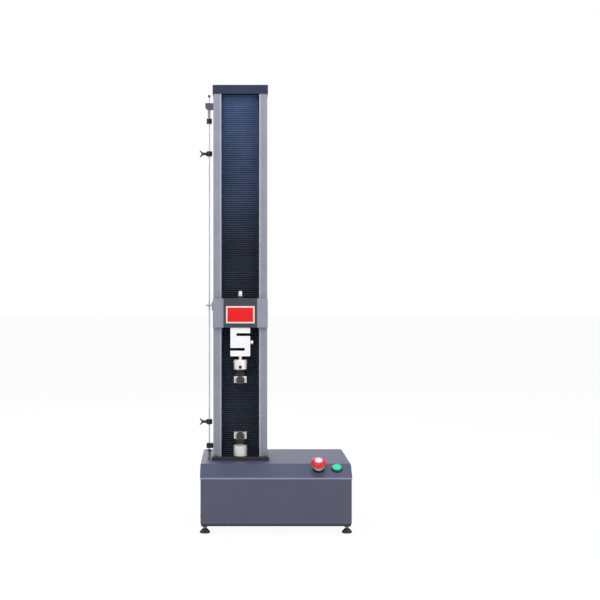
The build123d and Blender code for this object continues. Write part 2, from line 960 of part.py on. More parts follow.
def toothed_pulley(x, y, radius, teeth):
    """A flanged belt pulley with straight tooth gaps, in the open part."""
    with BuildSketch(Plane.XY.offset(pulley_bottom)) as outline:
        with Locations((x, y)):
            Circle(radius)
            with PolarLocations(radius, teeth):
                Rectangle(2 * tooth_gap_depth, tooth_gap_width, mode=Mode.SUBTRACT)
    extrude(outline.sketch, amount=pulley_height)
    for flange_bottom in (pulley_bottom, pulley_top - pulley_flange):
        flange_top = flange_bottom + pulley_flange
        rod_between(x, y, flange_bottom, flange_top, radius + pulley_flange_overhang)


with BuildPart() as motor_pulley:
    toothed_pulley(motor_x, screw_y, motor_pulley_radius, motor_pulley_teeth)
    rod_between(
        motor_x,
        screw_y,
        pulley_bottom - sheet,
        shelf_top + motor_shaft_in_body - overrun,
        motor_shaft_radius,
    )
save(motor_pulley, "motor_pulley")

with BuildPart() as screw_pulley:
    toothed_pulley(load_x, screw_y, screw_pulley_radius, screw_pulley_teeth)
    rod_between(
        load_x,
        screw_y,
        pulley_bottom - overrun,
        pulley_top + overrun,
        screw_radius,
        mode=Mode.SUBTRACT,
    )
save(screw_pulley, "screw_pulley")


def belt_loop(gap, mode=Mode.ADD):
    """The closed outline round both pulleys, this far outside their teeth."""
    big = screw_pulley_radius + gap
    small = motor_pulley_radius + gap
    lean = acos((big - small) / motor_from_screw)
    with Locations((load_x, screw_y)):
        Circle(big, mode=mode)
    with Locations((motor_x, screw_y)):
        Circle(small, mode=mode)
    with BuildLine() as runs:
        Polyline(
            (load_x + big * cos(lean), screw_y + big * sin(lean)),
            (motor_x + small * cos(lean), screw_y + small * sin(lean)),
            (motor_x + small * cos(lean), screw_y - small * sin(lean)),
            (load_x + big * cos(lean), screw_y - big * sin(lean)),
            close=True,
        )
    make_face(runs.edges(), mode=mode)


with BuildPart() as drive_belt:
    with BuildSketch(Plane.XY.offset(pulley_bottom + (pulley_height - belt_width) / 2)):
        belt_loop(body_clearance + belt_thickness)
        belt_loop(body_clearance, mode=Mode.SUBTRACT)
    extrude(amount=belt_width)
save(drive_belt, "drive_belt")

# Servo drive with cooling fins
drive_back = base_back - rear_panel_inset - sheet - drive_from_back
with BuildPart() as servo_drive:
    block(
        drive_right - drive_width,
        drive_right,
        drive_back - drive_depth,
        drive_back,
        base_plate_top,
        base_plate_top + drive_height,
    )
    with BuildSketch(Plane.XY.offset(base_plate_top + fin_pitch)):
        with Locations((drive_right, drive_back - drive_depth / 2)):
            with GridLocations(fin_depth, fin_pitch, 1, fin_count):
                Rectangle(2 * fin_depth, fin_pitch / 2)
    extrude(amount=drive_height - 2 * fin_pitch, mode=Mode.SUBTRACT)
save(servo_drive, "servo_drive")

# Column foot plate
with BuildPart() as column_foot_plate:
    with BuildSketch(Plane.XY.offset(cover_top)):
        plate_front = column_front - foot_plate_front
        plate_back = column_back + foot_plate_back
        with Locations((load_x, (plate_front + plate_back) / 2)):
            RectangleRounded(foot_plate_width, plate_back - plate_front, foot_plate_corner)
        with Locations((load_x, screw_y)):
            Circle(screw_radius + bracket_bore_clearance, mode=Mode.SUBTRACT)
    extrude(amount=foot_plate_thickness)
    chamfer(column_foot_plate.faces().sort_by(Axis.Z)[-1].outer_wire().edges(), sheet / 2)
save(column_foot_plate, "column_foot_plate")

# Column side profiles: one extruded section, mirrored
profile_outer = column_width / 2
profile_flange_edge = profile_outer - front_flange_width
first_groove = profile_flange_edge + groove_pitch / 2
for side_name, side in (("left", -1), ("right", 1)):
    with BuildPart() as column_side_profile:
        with BuildSketch(Plane.XY.offset(foot_plate_top)):
            with BuildLine():
                Polyline(
                    (load_x + side * profile_outer, column_front),
                    (load_x + side * profile_flange_edge, column_front),
                    (load_x + side * profile_flange_edge, column_front + front_flange_thickness),
                    (load_x + side * (profile_outer - column_wall), column_front + front_flange_thickness),
                    (load_x + side * (profile_outer - column_wall), back_plate_rear),
                    (load_x + side * (profile_outer - rear_flange_width), back_plate_rear),
                    (load_x + side * (profile_outer - rear_flange_width), column_back),
                    (load_x + side * profile_outer, column_back),
                    close=True,
                )
            make_face()
            with Locations(
                *[
                    (
                        load_x + side * (first_groove + groove_pitch * place),
                        column_front,
                    )
                    for place in range(groove_count)
                ]
            ):
                Rectangle(groove_width, 2 * groove_depth, mode=Mode.SUBTRACT)
            with Locations(
                (load_x + side * profile_outer, column_front + column_depth / 3),
                (load_x + side * profile_outer, column_back - column_depth / 4),
            ):
                Rectangle(2 * side_slot_depth, side_slot_width, mode=Mode.SUBTRACT)
        extrude(amount=column_height)
        outer_corners = (
            column_side_profile.edges()
            .filter_by(Axis.Z)
            .filter_by_position(
                Axis.X,
                load_x + side * profile_outer - running_clearance,
                load_x + side * profile_outer + running_clearance,
            )
            .sort_by(Axis.Y)
        )
        fillet([outer_corners[0], outer_corners[-1]], profile_corner)
    save(column_side_profile, f"column_{side_name}")

with BuildPart() as column_back_plate:
    block(
        load_x - profile_outer + column_wall,
        load_x + profile_outer - column_wall,
        back_plate_front,
        back_plate_rear,
        foot_plate_top,
        column_top,
    )
save(column_back_plate, "column_back")

# Top cap, hollow underneath
with BuildPart() as top_cap:
    block(
        load_x - profile_outer - cap_overhang,
        load_x + profile_outer + cap_overhang,
        column_front - cap_overhang,
        column_back + cap_overhang,
        column_top,
        total_height,
    )
    fillet(top_cap.edges().filter_by(Axis.Z), cap_corner)
    fillet(top_cap.faces().sort_by(Axis.Z)[-1].edges(), sheet)
    block(
        load_x - profile_outer - cap_overhang + cap_wall,
        load_x + profile_outer + cap_overhang - cap_wall,
        column_front - cap_overhang + cap_wall,
        column_back + cap_overhang - cap_wall,
        column_top,
        total_height - cap_top,
        mode=Mode.SUBTRACT,
    )
save(top_cap, "top_cap")

# Guide rails and carriages
rail_low = foot_plate_top + rail_end_margin
rail_high = column_top - rail_end_margin
rail_waist = back_plate_front - (rail_neck_low + rail_neck_high) / 2
with BuildPart() as guide_rails:
    with BuildSketch(Plane.XY.offset(rail_low)):
        for side in (-1, 1):
            rail_x = load_x + side * rail_gauge_half
            with BuildLine():
                Polyline(
                    (rail_x - rail_width / 2, back_plate_front),
                    (rail_x - rail_width / 2, back_plate_front - rail_neck_low),
                    (rail_x - rail_neck_width / 2, rail_waist),
                    (rail_x - rail_width / 2, back_plate_front - rail_neck_high),
                    (rail_x - rail_width / 2, back_plate_front - rail_height),
                    (rail_x + rail_width / 2, back_plate_front - rail_height),
                    (rail_x + rail_width / 2, back_plate_front - rail_neck_high),
                    (rail_x + rail_neck_width / 2, rail_waist),
                    (rail_x + rail_width / 2, back_plate_front - rail_neck_low),
                    (rail_x + rail_width / 2, back_plate_front),
                    close=True,
                )
            make_face()
    extrude(amount=rail_high - rail_low)
save(guide_rails, "guide_rails")

with BuildPart() as guide_carriages:
    for side in (-1, 1):
        for level in (-1, 1):
            carriage_x = load_x + side * rail_gauge_half
            carriage_mid = crosshead_mid + level * carriage_spacing_half
            carriage_low = carriage_mid - carriage_length / 2
            with BuildSketch(Plane.XY.offset(carriage_low)):
                with Locations((carriage_x, bracket_back)):
                    Rectangle(
                        carriage_width,
                        carriage_height - carriage_off_base,
                        align=(Align.CENTER, Align.MIN),
                    )
                with Locations((carriage_x, back_plate_front)):
                    Rectangle(
                        rail_width + 2 * running_clearance,
                        rail_height + running_clearance,
                        align=(Align.CENTER, Align.MAX),
                        mode=Mode.SUBTRACT,
                    )
            extrude(amount=carriage_length)
save(guide_carriages, "guide_carriages")

# Screw bearings: two housings, each with its bearing ring
block_front = screw_y - bearing_block_front
upper_block_bottom = column_top - bearing_block_height
with BuildPart() as bearing_blocks:
    for block_bottom in (foot_plate_top, upper_block_bottom):
        block(
            load_x - bearing_block_width / 2,
            load_x + bearing_block_width / 2,
            block_front,
            back_plate_front,
            block_bottom,
            block_bottom + bearing_block_height,
        )
        chamfer(
            bearing_blocks.edges().filter_by(Axis.Z).filter_by_position(
                Axis.Y, block_front - running_clearance, block_front + running_clearance
            ).filter_by_position(Axis.Z, block_bottom, block_bottom + bearing_block_height),
            bearing_ring_wall,
        )
        rod_between(
            load_x,
            screw_y,
            block_bottom,
            block_bottom + bearing_block_height,
            screw_radius + bracket_bore_clearance,
            mode=Mode.SUBTRACT,
        )
        ring_bottom = block_bottom + (bearing_block_height - bearing_height) / 2
        turn(
            [
                (screw_radius + bracket_bore_clearance, ring_bottom),
                (screw_radius + running_clearance, ring_bottom),
                (screw_radius + running_clearance, ring_bottom + bearing_height),
                (screw_radius + bracket_bore_clearance, ring_bottom + bearing_height),
            ],
            upright(load_x, screw_y),
        )
save(bearing_blocks, "bearing_blocks")

# Ball screw and nut
with BuildPart() as ball_screw:
    rod_between(
        load_x,
        screw_y,
        foot_plate_top - screw_below_plate,
        column_top - screw_below_cap,
        screw_radius,
    )
    chamfer(ball_screw.edges(), overrun)
save(ball_screw, "ball_screw")

bracket_bottom = crosshead_mid - crosshead_height / 2 - bracket_extra_height / 2
bracket_top = crosshead_mid + crosshead_height / 2 + bracket_extra_height / 2
with BuildPart() as ball_nut:
    turn(
        [
            (screw_radius + running_clearance, bracket_bottom),
            (nut_flange_radius, bracket_bottom),
            (nut_flange_radius, bracket_bottom - nut_flange_thickness),
            (nut_body_radius, bracket_bottom - nut_flange_thickness),
            (nut_body_radius, bracket_bottom - nut_flange_thickness - nut_body_length),
            (screw_radius + running_clearance, bracket_bottom - nut_flange_thickness - nut_body_length),
        ],
        upright(load_x, screw_y),
    )
save(ball_nut, "ball_nut")

# Crosshead bracket between the carriages, the nut and the arm
with BuildPart() as crosshead_bracket:
    block(
        load_x - bracket_width / 2,
        load_x + bracket_width / 2,
        bracket_front,
        bracket_back,
        bracket_bottom,
        bracket_top,
    )
    chamfer(crosshead_bracket.edges().filter_by(Axis.Z), arm_edge)
    rod_between(
        load_x,
        screw_y,
        bracket_bottom - overrun,
        bracket_top + overrun,
        screw_radius + bracket_bore_clearance,
        mode=Mode.SUBTRACT,
    )
save(crosshead_bracket, "crosshead_bracket")

# Crosshead arm: a front flange and a boxed neck that reaches into the column
with BuildPart() as crosshead_arm:
    with BuildSketch(Plane.XY.offset(crosshead_bottom)):
        with BuildLine():
            Polyline(
                (load_x - arm_width / 2, arm_front),
                (load_x + arm_width / 2, arm_front),
                (load_x + arm_width / 2, arm_back),
                (load_x + arm_neck_width / 2, arm_back),
                (load_x + arm_neck_width / 2, bracket_front),
                (load_x - arm_neck_width / 2, bracket_front),
                (load_x - arm_neck_width / 2, arm_back),
                (load_x - arm_width / 2, arm_back),
                close=True,
            )
        make_face()
    extrude(amount=crosshead_height)
    fillet(
        crosshead_arm.faces().sort_by(Axis.Y)[0].edges(),
        arm_edge,
    )
    pocket_front = load_y + arm_neck_wall
    block(
        load_x - arm_neck_width / 2 + arm_neck_wall,
        load_x + arm_neck_width / 2 - arm_neck_wall,
        pocket_front,
        bracket_front + overrun,
        crosshead_bottom + arm_neck_wall,
        crosshead_top - arm_neck_wall,
        mode=Mode.SUBTRACT,
    )
    rod_between(
        load_x,
        load_y,
        crosshead_bottom - overrun,
        crosshead_top + overrun,
        upper_stud_radius + running_clearance,
        mode=Mode.SUBTRACT,
    )
save(crosshead_arm, "crosshead_arm")

with BuildPart() as crosshead_cover:
    block(
        load_x - cover_plate_width / 2,
        load_x + cover_plate_width / 2,
        arm_front - cover_plate_thickness,
        arm_front,
        crosshead_bottom,
        crosshead_top,
    )
    chamfer(crosshead_cover.faces().sort_by(Axis.Y)[0].edges(), cover_plate_edge)
save(crosshead_cover, "crosshead_cover")

# S-shaped load cell with its cable gland
with BuildPart() as load_cell:
    with BuildSketch(from_front(load_y + cell_thickness / 2)):
        with Locations((load_x, (crosshead_bottom + cell_bottom) / 2)):
            Rectangle(cell_width, cell_height)
        for side, slot_end, slot_z in (
            (1, load_x - cell_upper_slot_from_axis, crosshead_bottom - cell_slot_from_end),
            (-1, load_x + cell_lower_slot_from_axis, cell_bottom + cell_slot_from_end),
        ):
            end_x = slot_end + side * cell_slot_end_radius
            with Locations((end_x, slot_z)):
                Circle(cell_slot_end_radius, mode=Mode.SUBTRACT)
            with Locations(((end_x + load_x + side * cell_width) / 2, slot_z)):
                Rectangle(
                    abs(load_x + side * cell_width - end_x),
                    2 * cell_slot_half,
                    mode=Mode.SUBTRACT,
                )
    extrude(amount=cell_thickness)
    chamfer(
        load_cell.edges().filter_by(Axis.Y).group_by(Axis.Z)[0]
        + load_cell.edges().filter_by(Axis.Y).group_by(Axis.Z)[-1],
        cell_edge,
    )
    with BuildSketch(Plane.YZ.offset(load_x + cell_width / 2)):
        with Locations((load_y, crosshead_bottom - gland_below_top)):
            Circle(gland_radius)
    extrude(amount=gland_length)
    rod_between(
        load_x,
        load_y,
        crosshead_bottom - upper_stud_in_cell,
        crosshead_bottom,
        upper_stud_radius + running_clearance,
        mode=Mode.SUBTRACT,
    )
    rod_between(
        load_x,
        load_y,
        cell_bottom,
        cell_bottom + lower_stud_in_cell,
        lower_stud_radius + running_clearance,
        mode=Mode.SUBTRACT,
    )
save(load_cell, "load_cell")

# Studs, jam nut and cross pin of the load train
with BuildPart() as load_train_fasteners:
    rod_between(
        load_x,
        load_y,
        crosshead_bottom - upper_stud_in_cell,
        crosshead_top + jam_nut_height + upper_stud_above_nut,
        upper_stud_radius,
    )
    with BuildSketch(Plane.XY.offset(crosshead_top)):
        with Locations((load_x, load_y)):
            RegularPolygon(jam_nut_across_flats / 2, 6, major_radius=False)
    extrude(amount=jam_nut_height)
    rod_between(
        load_x,
        load_y,
        slot_roof + stud_off_slot,
        cell_bottom + lower_stud_in_cell,
        lower_stud_radius,
    )
    with BuildSketch(from_front(load_y + adapter_radius - pin_recess)):
        with Locations((load_x, pin_z)):
            Circle(pin_radius)
    extrude(amount=2 * (adapter_radius - pin_recess))
save(load_train_fasteners, "load_train_fasteners")

# Upper adapter: a round clevis that the grip hangs in
with BuildPart() as upper_adapter:
    rod_between(load_x, load_y, adapter_bottom, adapter_top, adapter_radius)
    chamfer(upper_adapter.edges(), adapter_edge)
    block(
        load_x - adapter_radius - overrun,
        load_x + adapter_radius + overrun,
        load_y - tang_thickness / 2 - tang_side_clearance,
        load_y + tang_thickness / 2 + tang_side_clearance,
        adapter_bottom - overrun,
        slot_roof,
        mode=Mode.SUBTRACT,
    )
    rod_between(
        load_x,
        load_y,
        slot_roof - overrun,
        adapter_top + overrun,
        lower_stud_radius + running_clearance,
        mode=Mode.SUBTRACT,
    )
    with BuildSketch(from_front(load_y + 2 * adapter_radius)):
        with Locations((load_x, pin_z)):
            Circle(pin_radius + running_clearance)
    extrude(amount=4 * adapter_radius, mode=Mode.SUBTRACT)
save(upper_adapter, "upper_adapter")


def grip_yoke(body, leg_mid, away):
    """The C-shaped body of a grip; away is 1 with the bridge above the legs and -1 below them."""
    bridge_near = leg_mid + away * grip_leg_height / 2
    bridge_far = bridge_near + away * grip_bridge_height
    for leg_back in (front_leg_back, grip_back):
        with BuildSketch(from_front(leg_back)) as leg:
            with Locations((load_x, leg_mid)):
                Rectangle(grip_width, grip_leg_height)
        extrude(leg.sketch, amount=grip_leg_thickness)
    faces_across = body.faces().filter_by(Axis.Y).sort_by(Axis.Y)
    chamfer(faces_across[0].edges() + faces_across[-1].edges(), grip_edge)
    with BuildSketch(Plane.YZ.offset(load_x - grip_bridge_width / 2)) as bridge:
        with BuildLine():
            Polyline(
                (grip_front + grip_edge, leg_mid),
                (grip_front + grip_edge, bridge_far),
                (grip_back - grip_edge, bridge_far),
                (grip_back - grip_edge, leg_mid),
                (back_leg_front, leg_mid),
                (back_leg_front, bridge_near),
                (front_leg_back, bridge_near),
                (front_leg_back, leg_mid),
                close=True,
            )
        make_face()
    extrude(bridge.sketch, amount=grip_bridge_width)
    with BuildSketch(from_front(front_leg_back + overrun)) as bore:
        with Locations((load_x, leg_mid)):
            Circle(clamp_screw_radius + running_clearance)
    extrude(bore.sketch, amount=grip_leg_thickness + 2 * overrun, mode=Mode.SUBTRACT)


# Upper grip, hung on the cross pin by its tang
with BuildPart() as upper_grip_body:
    grip_yoke(upper_grip_body, upper_grip_mid, 1)
    with BuildSketch(from_front(load_y + tang_thickness / 2)):
        with Locations((load_x, pin_z)):
            Circle(tang_radius)
        with Locations((load_x, pin_z)):
            Rectangle(
                tang_width,
                upper_grip_below_pin - grip_leg_height - grip_bridge_height,
                align=(Align.CENTER, Align.MAX),
            )
        with Locations((load_x, pin_z)):
            Circle(pin_radius + running_clearance, mode=Mode.SUBTRACT)
    extrude(amount=tang_thickness)
save(upper_grip_body, "upper_grip_body")

# Lower adapter on the foot plate, with the spigot bore of the lower grip
with BuildPart() as lower_adapter:
    turn(
        [
            (spigot_radius + running_clearance, lower_neck_top),
            (lower_neck_radius, lower_neck_top),
            (lower_neck_radius, foot_plate_top + lower_adapter_height),
            (lower_adapter_radius - adapter_edge, foot_plate_top + lower_adapter_height),
            (lower_adapter_radius, foot_plate_top + lower_adapter_height - adapter_edge),
            (lower_adapter_radius, foot_plate_top + adapter_edge),
            (lower_adapter_radius - adapter_edge, foot_plate_top),
            (0, foot_plate_top),
            (0, lower_neck_top - spigot_length - running_clearance),
            (spigot_radius + running_clearance, lower_neck_top - spigot_length - running_clearance),
        ],
        upright(load_x, load_y),
    )
save(lower_adapter, "lower_adapter")

with BuildPart() as lower_grip_body:
    grip_yoke(lower_grip_body, lower_grip_mid, -1)
    rod_between(load_x, load_y, lower_neck_top - spigot_length, lower_neck_top, spigot_radius)
save(lower_grip_body, "lower_grip_body")


def moving_jaw(leg_mid):
    """The sliding jaw plate with the seat of its screw, in the open part."""
    with BuildSketch(from_front(jaw_front + jaw_thickness)) as plate:
        with Locations((load_x, leg_mid)):
            Rectangle(jaw_width, jaw_height)
    extrude(plate.sketch, amount=jaw_thickness)
    with BuildSketch(from_front(jaw_front + jaw_seat_depth)) as seat:
        with Locations((load_x, leg_mid)):
            Circle(clamp_neck_radius + running_clearance)
    extrude(seat.sketch, amount=jaw_seat_depth + overrun, mode=Mode.SUBTRACT)


def clamping_screw(leg_mid):
    """The clamping screw and its knob, turned about a line along Y, in the open part."""
    turn(
        [
            (0, jaw_front + jaw_seat_depth),
            (clamp_neck_radius, jaw_front + jaw_seat_depth),
            (clamp_neck_radius, jaw_front),
            (clamp_screw_radius, jaw_front),
            (clamp_screw_radius, knob_back),
            (knob_radius - knob_edge, knob_back),
            (knob_radius, knob_back - knob_edge),
            (knob_radius, knob_back - knob_length + knob_edge),
            (knob_radius - knob_edge, knob_back - knob_length),
            (0, knob_back - knob_length),
        ],
        along_y(load_x, 0, leg_mid),
    )


for grip_name, grip_mid in (("upper", upper_grip_mid), ("lower", lower_grip_mid)):
    with BuildPart() as jaw:
        moving_jaw(grip_mid)
    save(jaw, f"{grip_name}_jaw")
    with BuildPart() as grip_screw:
        clamping_screw(grip_mid)
    save(grip_screw, f"{grip_name}_grip_screw")


def pleats(z_low, z_high):
    """A pleated wall across the column opening, from z_low to z_high, in the open part."""
    front = load_y + bellows_front_from_axis
    folds = 2 * round((z_high - z_low) / bellows_pitch)
    rise = (z_high - z_low) / folds
    fold_depth = bellows_depth - bellows_wall
    near = [(front + fold_depth * (place % 2), z_low + rise * place) for place in range(folds + 1)]
    far = [(y + bellows_wall, z) for y, z in reversed(near)]
    with BuildSketch(Plane.YZ.offset(load_x - bellows_half_width)) as fold_line:
        with BuildLine():
            Polyline(*near, *far, close=True)
        make_face()
    extrude(fold_line.sketch, amount=2 * bellows_half_width)


with BuildPart() as bellows_upper:
    pleats(crosshead_top + body_clearance, column_top)
save(bellows_upper, "bellows_upper")

with BuildPart() as bellows_lower:
    pleats(foot_plate_top, crosshead_bottom - body_clearance)
save(bellows_lower, "bellows_lower")

# Limit rod with its two fixed collars
with BuildPart() as limit_rod:
    rod_between(rod_x, rod_y, rod_bottom, rod_top, rod_radius)
    rod_between(rod_x, rod_y, fixed_collar_bottom, fixed_collar_top, fixed_collar_radius)
    rod_between(rod_x, rod_y, low_collar_bottom, low_collar_top, low_collar_radius)
save(limit_rod, "limit_rod")

# Guide brackets of the rod, on the side of the column
with BuildPart() as rod_guides:
    for guide_low, guide_high, reach in (
        (upper_guide_bottom, upper_guide_top, upper_guide_reach),
        (lower_guide_bottom, lower_guide_top, lower_guide_reach),
    ):
        with BuildSketch(from_front(rod_y + guide_depth / 2)):
            with Locations(((rod_x - reach + column_side) / 2, (guide_low + guide_high) / 2)):
                Rectangle(column_side - rod_x + reach, guide_high - guide_low)
        extrude(amount=guide_depth)
    rounded_corner = (
        rod_guides.edges()
        .filter_by(Axis.Y)
        .filter_by_position(Axis.X, rod_x - 2 * upper_guide_reach, rod_x)
        .filter_by_position(Axis.Z, upper_guide_bottom - overrun, upper_guide_bottom + overrun)
    )
    fillet(rounded_corner, upper_guide_height / 2)
    rod_between(
        rod_x,
        rod_y,
        lower_guide_bottom - overrun,
        upper_guide_top + overrun,
        rod_radius + running_clearance,
        mode=Mode.SUBTRACT,
    )
save(rod_guides, "rod_guides")


def spring_tube(z_low, z_high):
    """The envelope of a coil spring round the rod, in the open part."""
    rod_between(rod_x, rod_y, z_low, z_high, spring_outer_radius)
    rod_between(rod_x, rod_y, z_low, z_high, spring_outer_radius - spring_wall, mode=Mode.SUBTRACT)


with BuildPart() as upper_rod_spring:
    spring_tube(fixed_collar_top + spring_end_gap, upper_guide_bottom)
save(upper_rod_spring, "upper_rod_spring")

with BuildPart() as lower_rod_spring:
    spring_tube(cover_top, low_collar_bottom - spring_end_gap)
save(lower_rod_spring, "lower_rod_spring")


def wing_outline(root_x):
    """A bow-tie wing, drawn in X and Z about the screw's line."""
    tip = root_x - wing_length
    return [
        (root_x, wing_hub_radius / 2),
        (tip + wing_notch / 2, wing_half_span),
        (tip, wing_half_span),
        (tip + wing_notch, 0),
        (tip, -wing_half_span),
        (tip + wing_notch / 2, -wing_half_span),
        (root_x, -wing_hub_radius / 2),
    ]


# Adjustable stops on the rod, each with its wing screw
for stop_name, stop_low in (("upper", upper_stop_low), ("lower", lower_stop_low)):
    stop_mid = stop_low + stop_height / 2
    with BuildPart() as rod_stop:
        with BuildSketch(Plane.XY.offset(stop_low)):
            with Locations((rod_x, rod_y)):
                Circle(stop_radius)
                Circle(rod_radius + running_clearance, mode=Mode.SUBTRACT)
        extrude(amount=stop_height)
        stop_wall = rod_stop.faces().filter_by(GeomType.CYLINDER).sort_by(SortBy.AREA)[-1]
        chamfer(stop_wall.edges(), sheet)
        with BuildSketch(Plane.YZ.offset(rod_x - 2 * stop_radius)):
            with Locations((rod_y, stop_mid)):
                Circle(thumb_screw_radius + running_clearance)
        extrude(amount=2 * stop_radius, mode=Mode.SUBTRACT)
    save(rod_stop, f"{stop_name}_stop")

    with BuildPart() as stop_screw:
        knob_tip = rod_x - stop_knob_reach
        wing_root = knob_tip + wing_length
        with BuildSketch(Plane.YZ.offset(knob_tip + wing_notch)):
            with Locations((rod_y, stop_mid)):
                Circle(wing_hub_radius)
        extrude(amount=rod_x - stop_radius - body_clearance - knob_tip - wing_notch)
        with BuildSketch(Plane.YZ.offset(wing_root)):
            with Locations((rod_y, stop_mid)):
                Circle(thumb_screw_radius)
        extrude(amount=rod_x - rod_radius - 2 * running_clearance - wing_root)
        with BuildSketch(from_front(rod_y + wing_thickness / 2)):
            with BuildLine():
                Polyline(
                    *[(x, stop_mid + z) for x, z in wing_outline(wing_root)],
                    close=True,
                )
            make_face()
        extrude(amount=wing_thickness)
    save(stop_screw, f"{stop_name}_stop_screw")

# Striker on the crosshead: an angle with an eye round the rod
striker_bottom = crosshead_bottom + striker_above_arm_bottom
with BuildPart() as limit_striker:
    arm_left = load_x - arm_width / 2
    block(
        arm_left - striker_tab_thickness,
        arm_left,
        arm_front,
        arm_back,
        striker_bottom - striker_tab_height / 2,
        striker_bottom + striker_tab_height / 2,
    )
    with BuildSketch(Plane.XY.offset(striker_bottom)):
        with BuildLine():
            Polyline(
                (arm_left, arm_front),
                (arm_left, rod_y + striker_width / 2),
                (rod_x - striker_width / 2, rod_y + striker_width / 2),
                (rod_x - striker_width / 2, rod_y - striker_width / 2),
                (arm_left - striker_tab_thickness, arm_front),
                close=True,
            )
        make_face()
        with Locations((rod_x, rod_y)):
            Circle(rod_radius + striker_eye_clearance, mode=Mode.SUBTRACT)
    extrude(amount=striker_thickness)
save(limit_striker, "limit_striker")

# Limit switch under the rod, on the inner frame
with BuildPart() as limit_switch:
    switch_top = rod_bottom - rod_travel - body_clearance - switch_plunger_height
    block(
        frame_left - switch_width,
        frame_left,
        rod_y - switch_depth / 2,
        rod_y + switch_depth / 2,
        switch_top - switch_height,
        switch_top,
    )
    rod_between(rod_x, rod_y, switch_top, switch_top + switch_plunger_height, switch_plunger_radius)
save(limit_switch, "limit_switch")
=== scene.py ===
"""The dressed model of a single column universal testing machine, in metres."""

import logging
from dataclasses import dataclass
from enum import Enum
from math import atan2, cos, pi, radians, sin, tau
from typing import Sequence

import bmesh
import bpy
from mathutils import Matrix, Vector


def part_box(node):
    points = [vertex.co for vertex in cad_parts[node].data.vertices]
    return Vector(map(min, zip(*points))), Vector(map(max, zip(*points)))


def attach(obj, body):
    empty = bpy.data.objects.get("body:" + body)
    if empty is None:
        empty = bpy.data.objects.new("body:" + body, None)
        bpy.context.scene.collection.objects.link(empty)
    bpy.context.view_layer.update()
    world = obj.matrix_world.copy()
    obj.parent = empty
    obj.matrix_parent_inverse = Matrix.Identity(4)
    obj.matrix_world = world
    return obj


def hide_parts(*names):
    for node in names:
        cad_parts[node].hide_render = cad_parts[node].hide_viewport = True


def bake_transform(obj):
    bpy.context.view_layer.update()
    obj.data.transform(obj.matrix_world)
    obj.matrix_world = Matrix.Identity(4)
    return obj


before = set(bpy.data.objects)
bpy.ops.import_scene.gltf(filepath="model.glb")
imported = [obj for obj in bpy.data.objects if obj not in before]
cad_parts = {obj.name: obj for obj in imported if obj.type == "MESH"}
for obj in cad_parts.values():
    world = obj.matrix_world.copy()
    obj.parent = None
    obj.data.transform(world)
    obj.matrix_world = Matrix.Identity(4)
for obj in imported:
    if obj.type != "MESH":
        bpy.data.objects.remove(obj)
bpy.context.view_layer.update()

LOG = logging.getLogger("testing_machine")
TINY = 1e-6
SHARP_ANGLE = radians(32)
PATCH_DETAIL = 3.0
GRAIN_DETAIL = 5.0
GRAIN_RANGE = (0.3, 0.7)
RAMP_STOPS = (0.35, 0.65)
SMOOTHEST = 0.02
# The phase in radians that Blender's wave texture gains in a metre at scale 1.
WAVE_RATE = 20.0
# The places of the colour sockets on Blender's mix node.
MIX_NEAR, MIX_FAR, MIX_RESULT = 6, 7, 2

Mesh = bmesh.types.BMesh
Vert = bmesh.types.BMVert
Edge = bmesh.types.BMEdge
Tree = bpy.types.NodeTree
Node = bpy.types.Node
Socket = bpy.types.NodeSocket
Inputs = dict[str | int, object]
Point = tuple[float, float]
Triple = tuple[float, float, float]
WHITE: Triple = (1.0, 1.0, 1.0)
UP: Triple = (0.0, 0.0, 1.0)
BACK: Triple = (0.0, 1.0, 0.0)
FRONT: Triple = (0.0, -1.0, 0.0)
RIGHT: Triple = (1.0, 0.0, 0.0)


class Grain(Enum):
    """The way in which a surface's fine marks run, as noise scales along X, Y and Z."""

    EVEN = (1.0, 1.0, 1.0)
    ALONG_X = (0.03, 1.0, 1.0)
    ALONG_Z = (1.0, 1.0, 0.03)


def linear(code: str) -> tuple[float, float, float, float]:
    """Turn a colour as written on a paint card into Blender's linear colour.

    Args:
        code: Six hexadecimal digits.

    Returns:
        Red, green, blue and an opaque alpha.
    """
    parts = [int(code[place : place + 2], 16) / 255 for place in (0, 2, 4)]
    values = [p / 12.92 if p <= 0.04045 else ((p + 0.055) / 1.055) ** 2.4 for p in parts]
    return (values[0], values[1], values[2], 1.0)


@dataclass(frozen=True)
class Canvas:
    """The nodes of a material or a world."""

    tree: Tree

    def add(self, kind: str, inputs: Inputs, **settings: str) -> Node:
        """Add a shader node.

        Args:
            kind: The node's kind, without its prefix.
            inputs: Sockets and values by the input's name or place.
            settings: The node's own settings.

        Returns:
            The node.
        """
        node = self.tree.nodes.new(f"ShaderNode{kind}")
        for name, value in settings.items():
            setattr(node, name, value)
        self.fill(node, inputs)
        return node

    def fill(self, node: Node, inputs: Inputs) -> None:
        """Link a node's inputs where a socket is given, and set them where a value is.

        Args:
            node: The node.
            inputs: Sockets and values by the input's name or place.
        """
        for place, given in inputs.items():
            if isinstance(given, Socket):
                self.tree.links.new(given, node.inputs[place])
            else:
                node.inputs[place].default_value = given

    def place(self) -> Socket:
        """Return the object coordinates."""
        return self.add("TexCoord", {}).outputs["Object"]


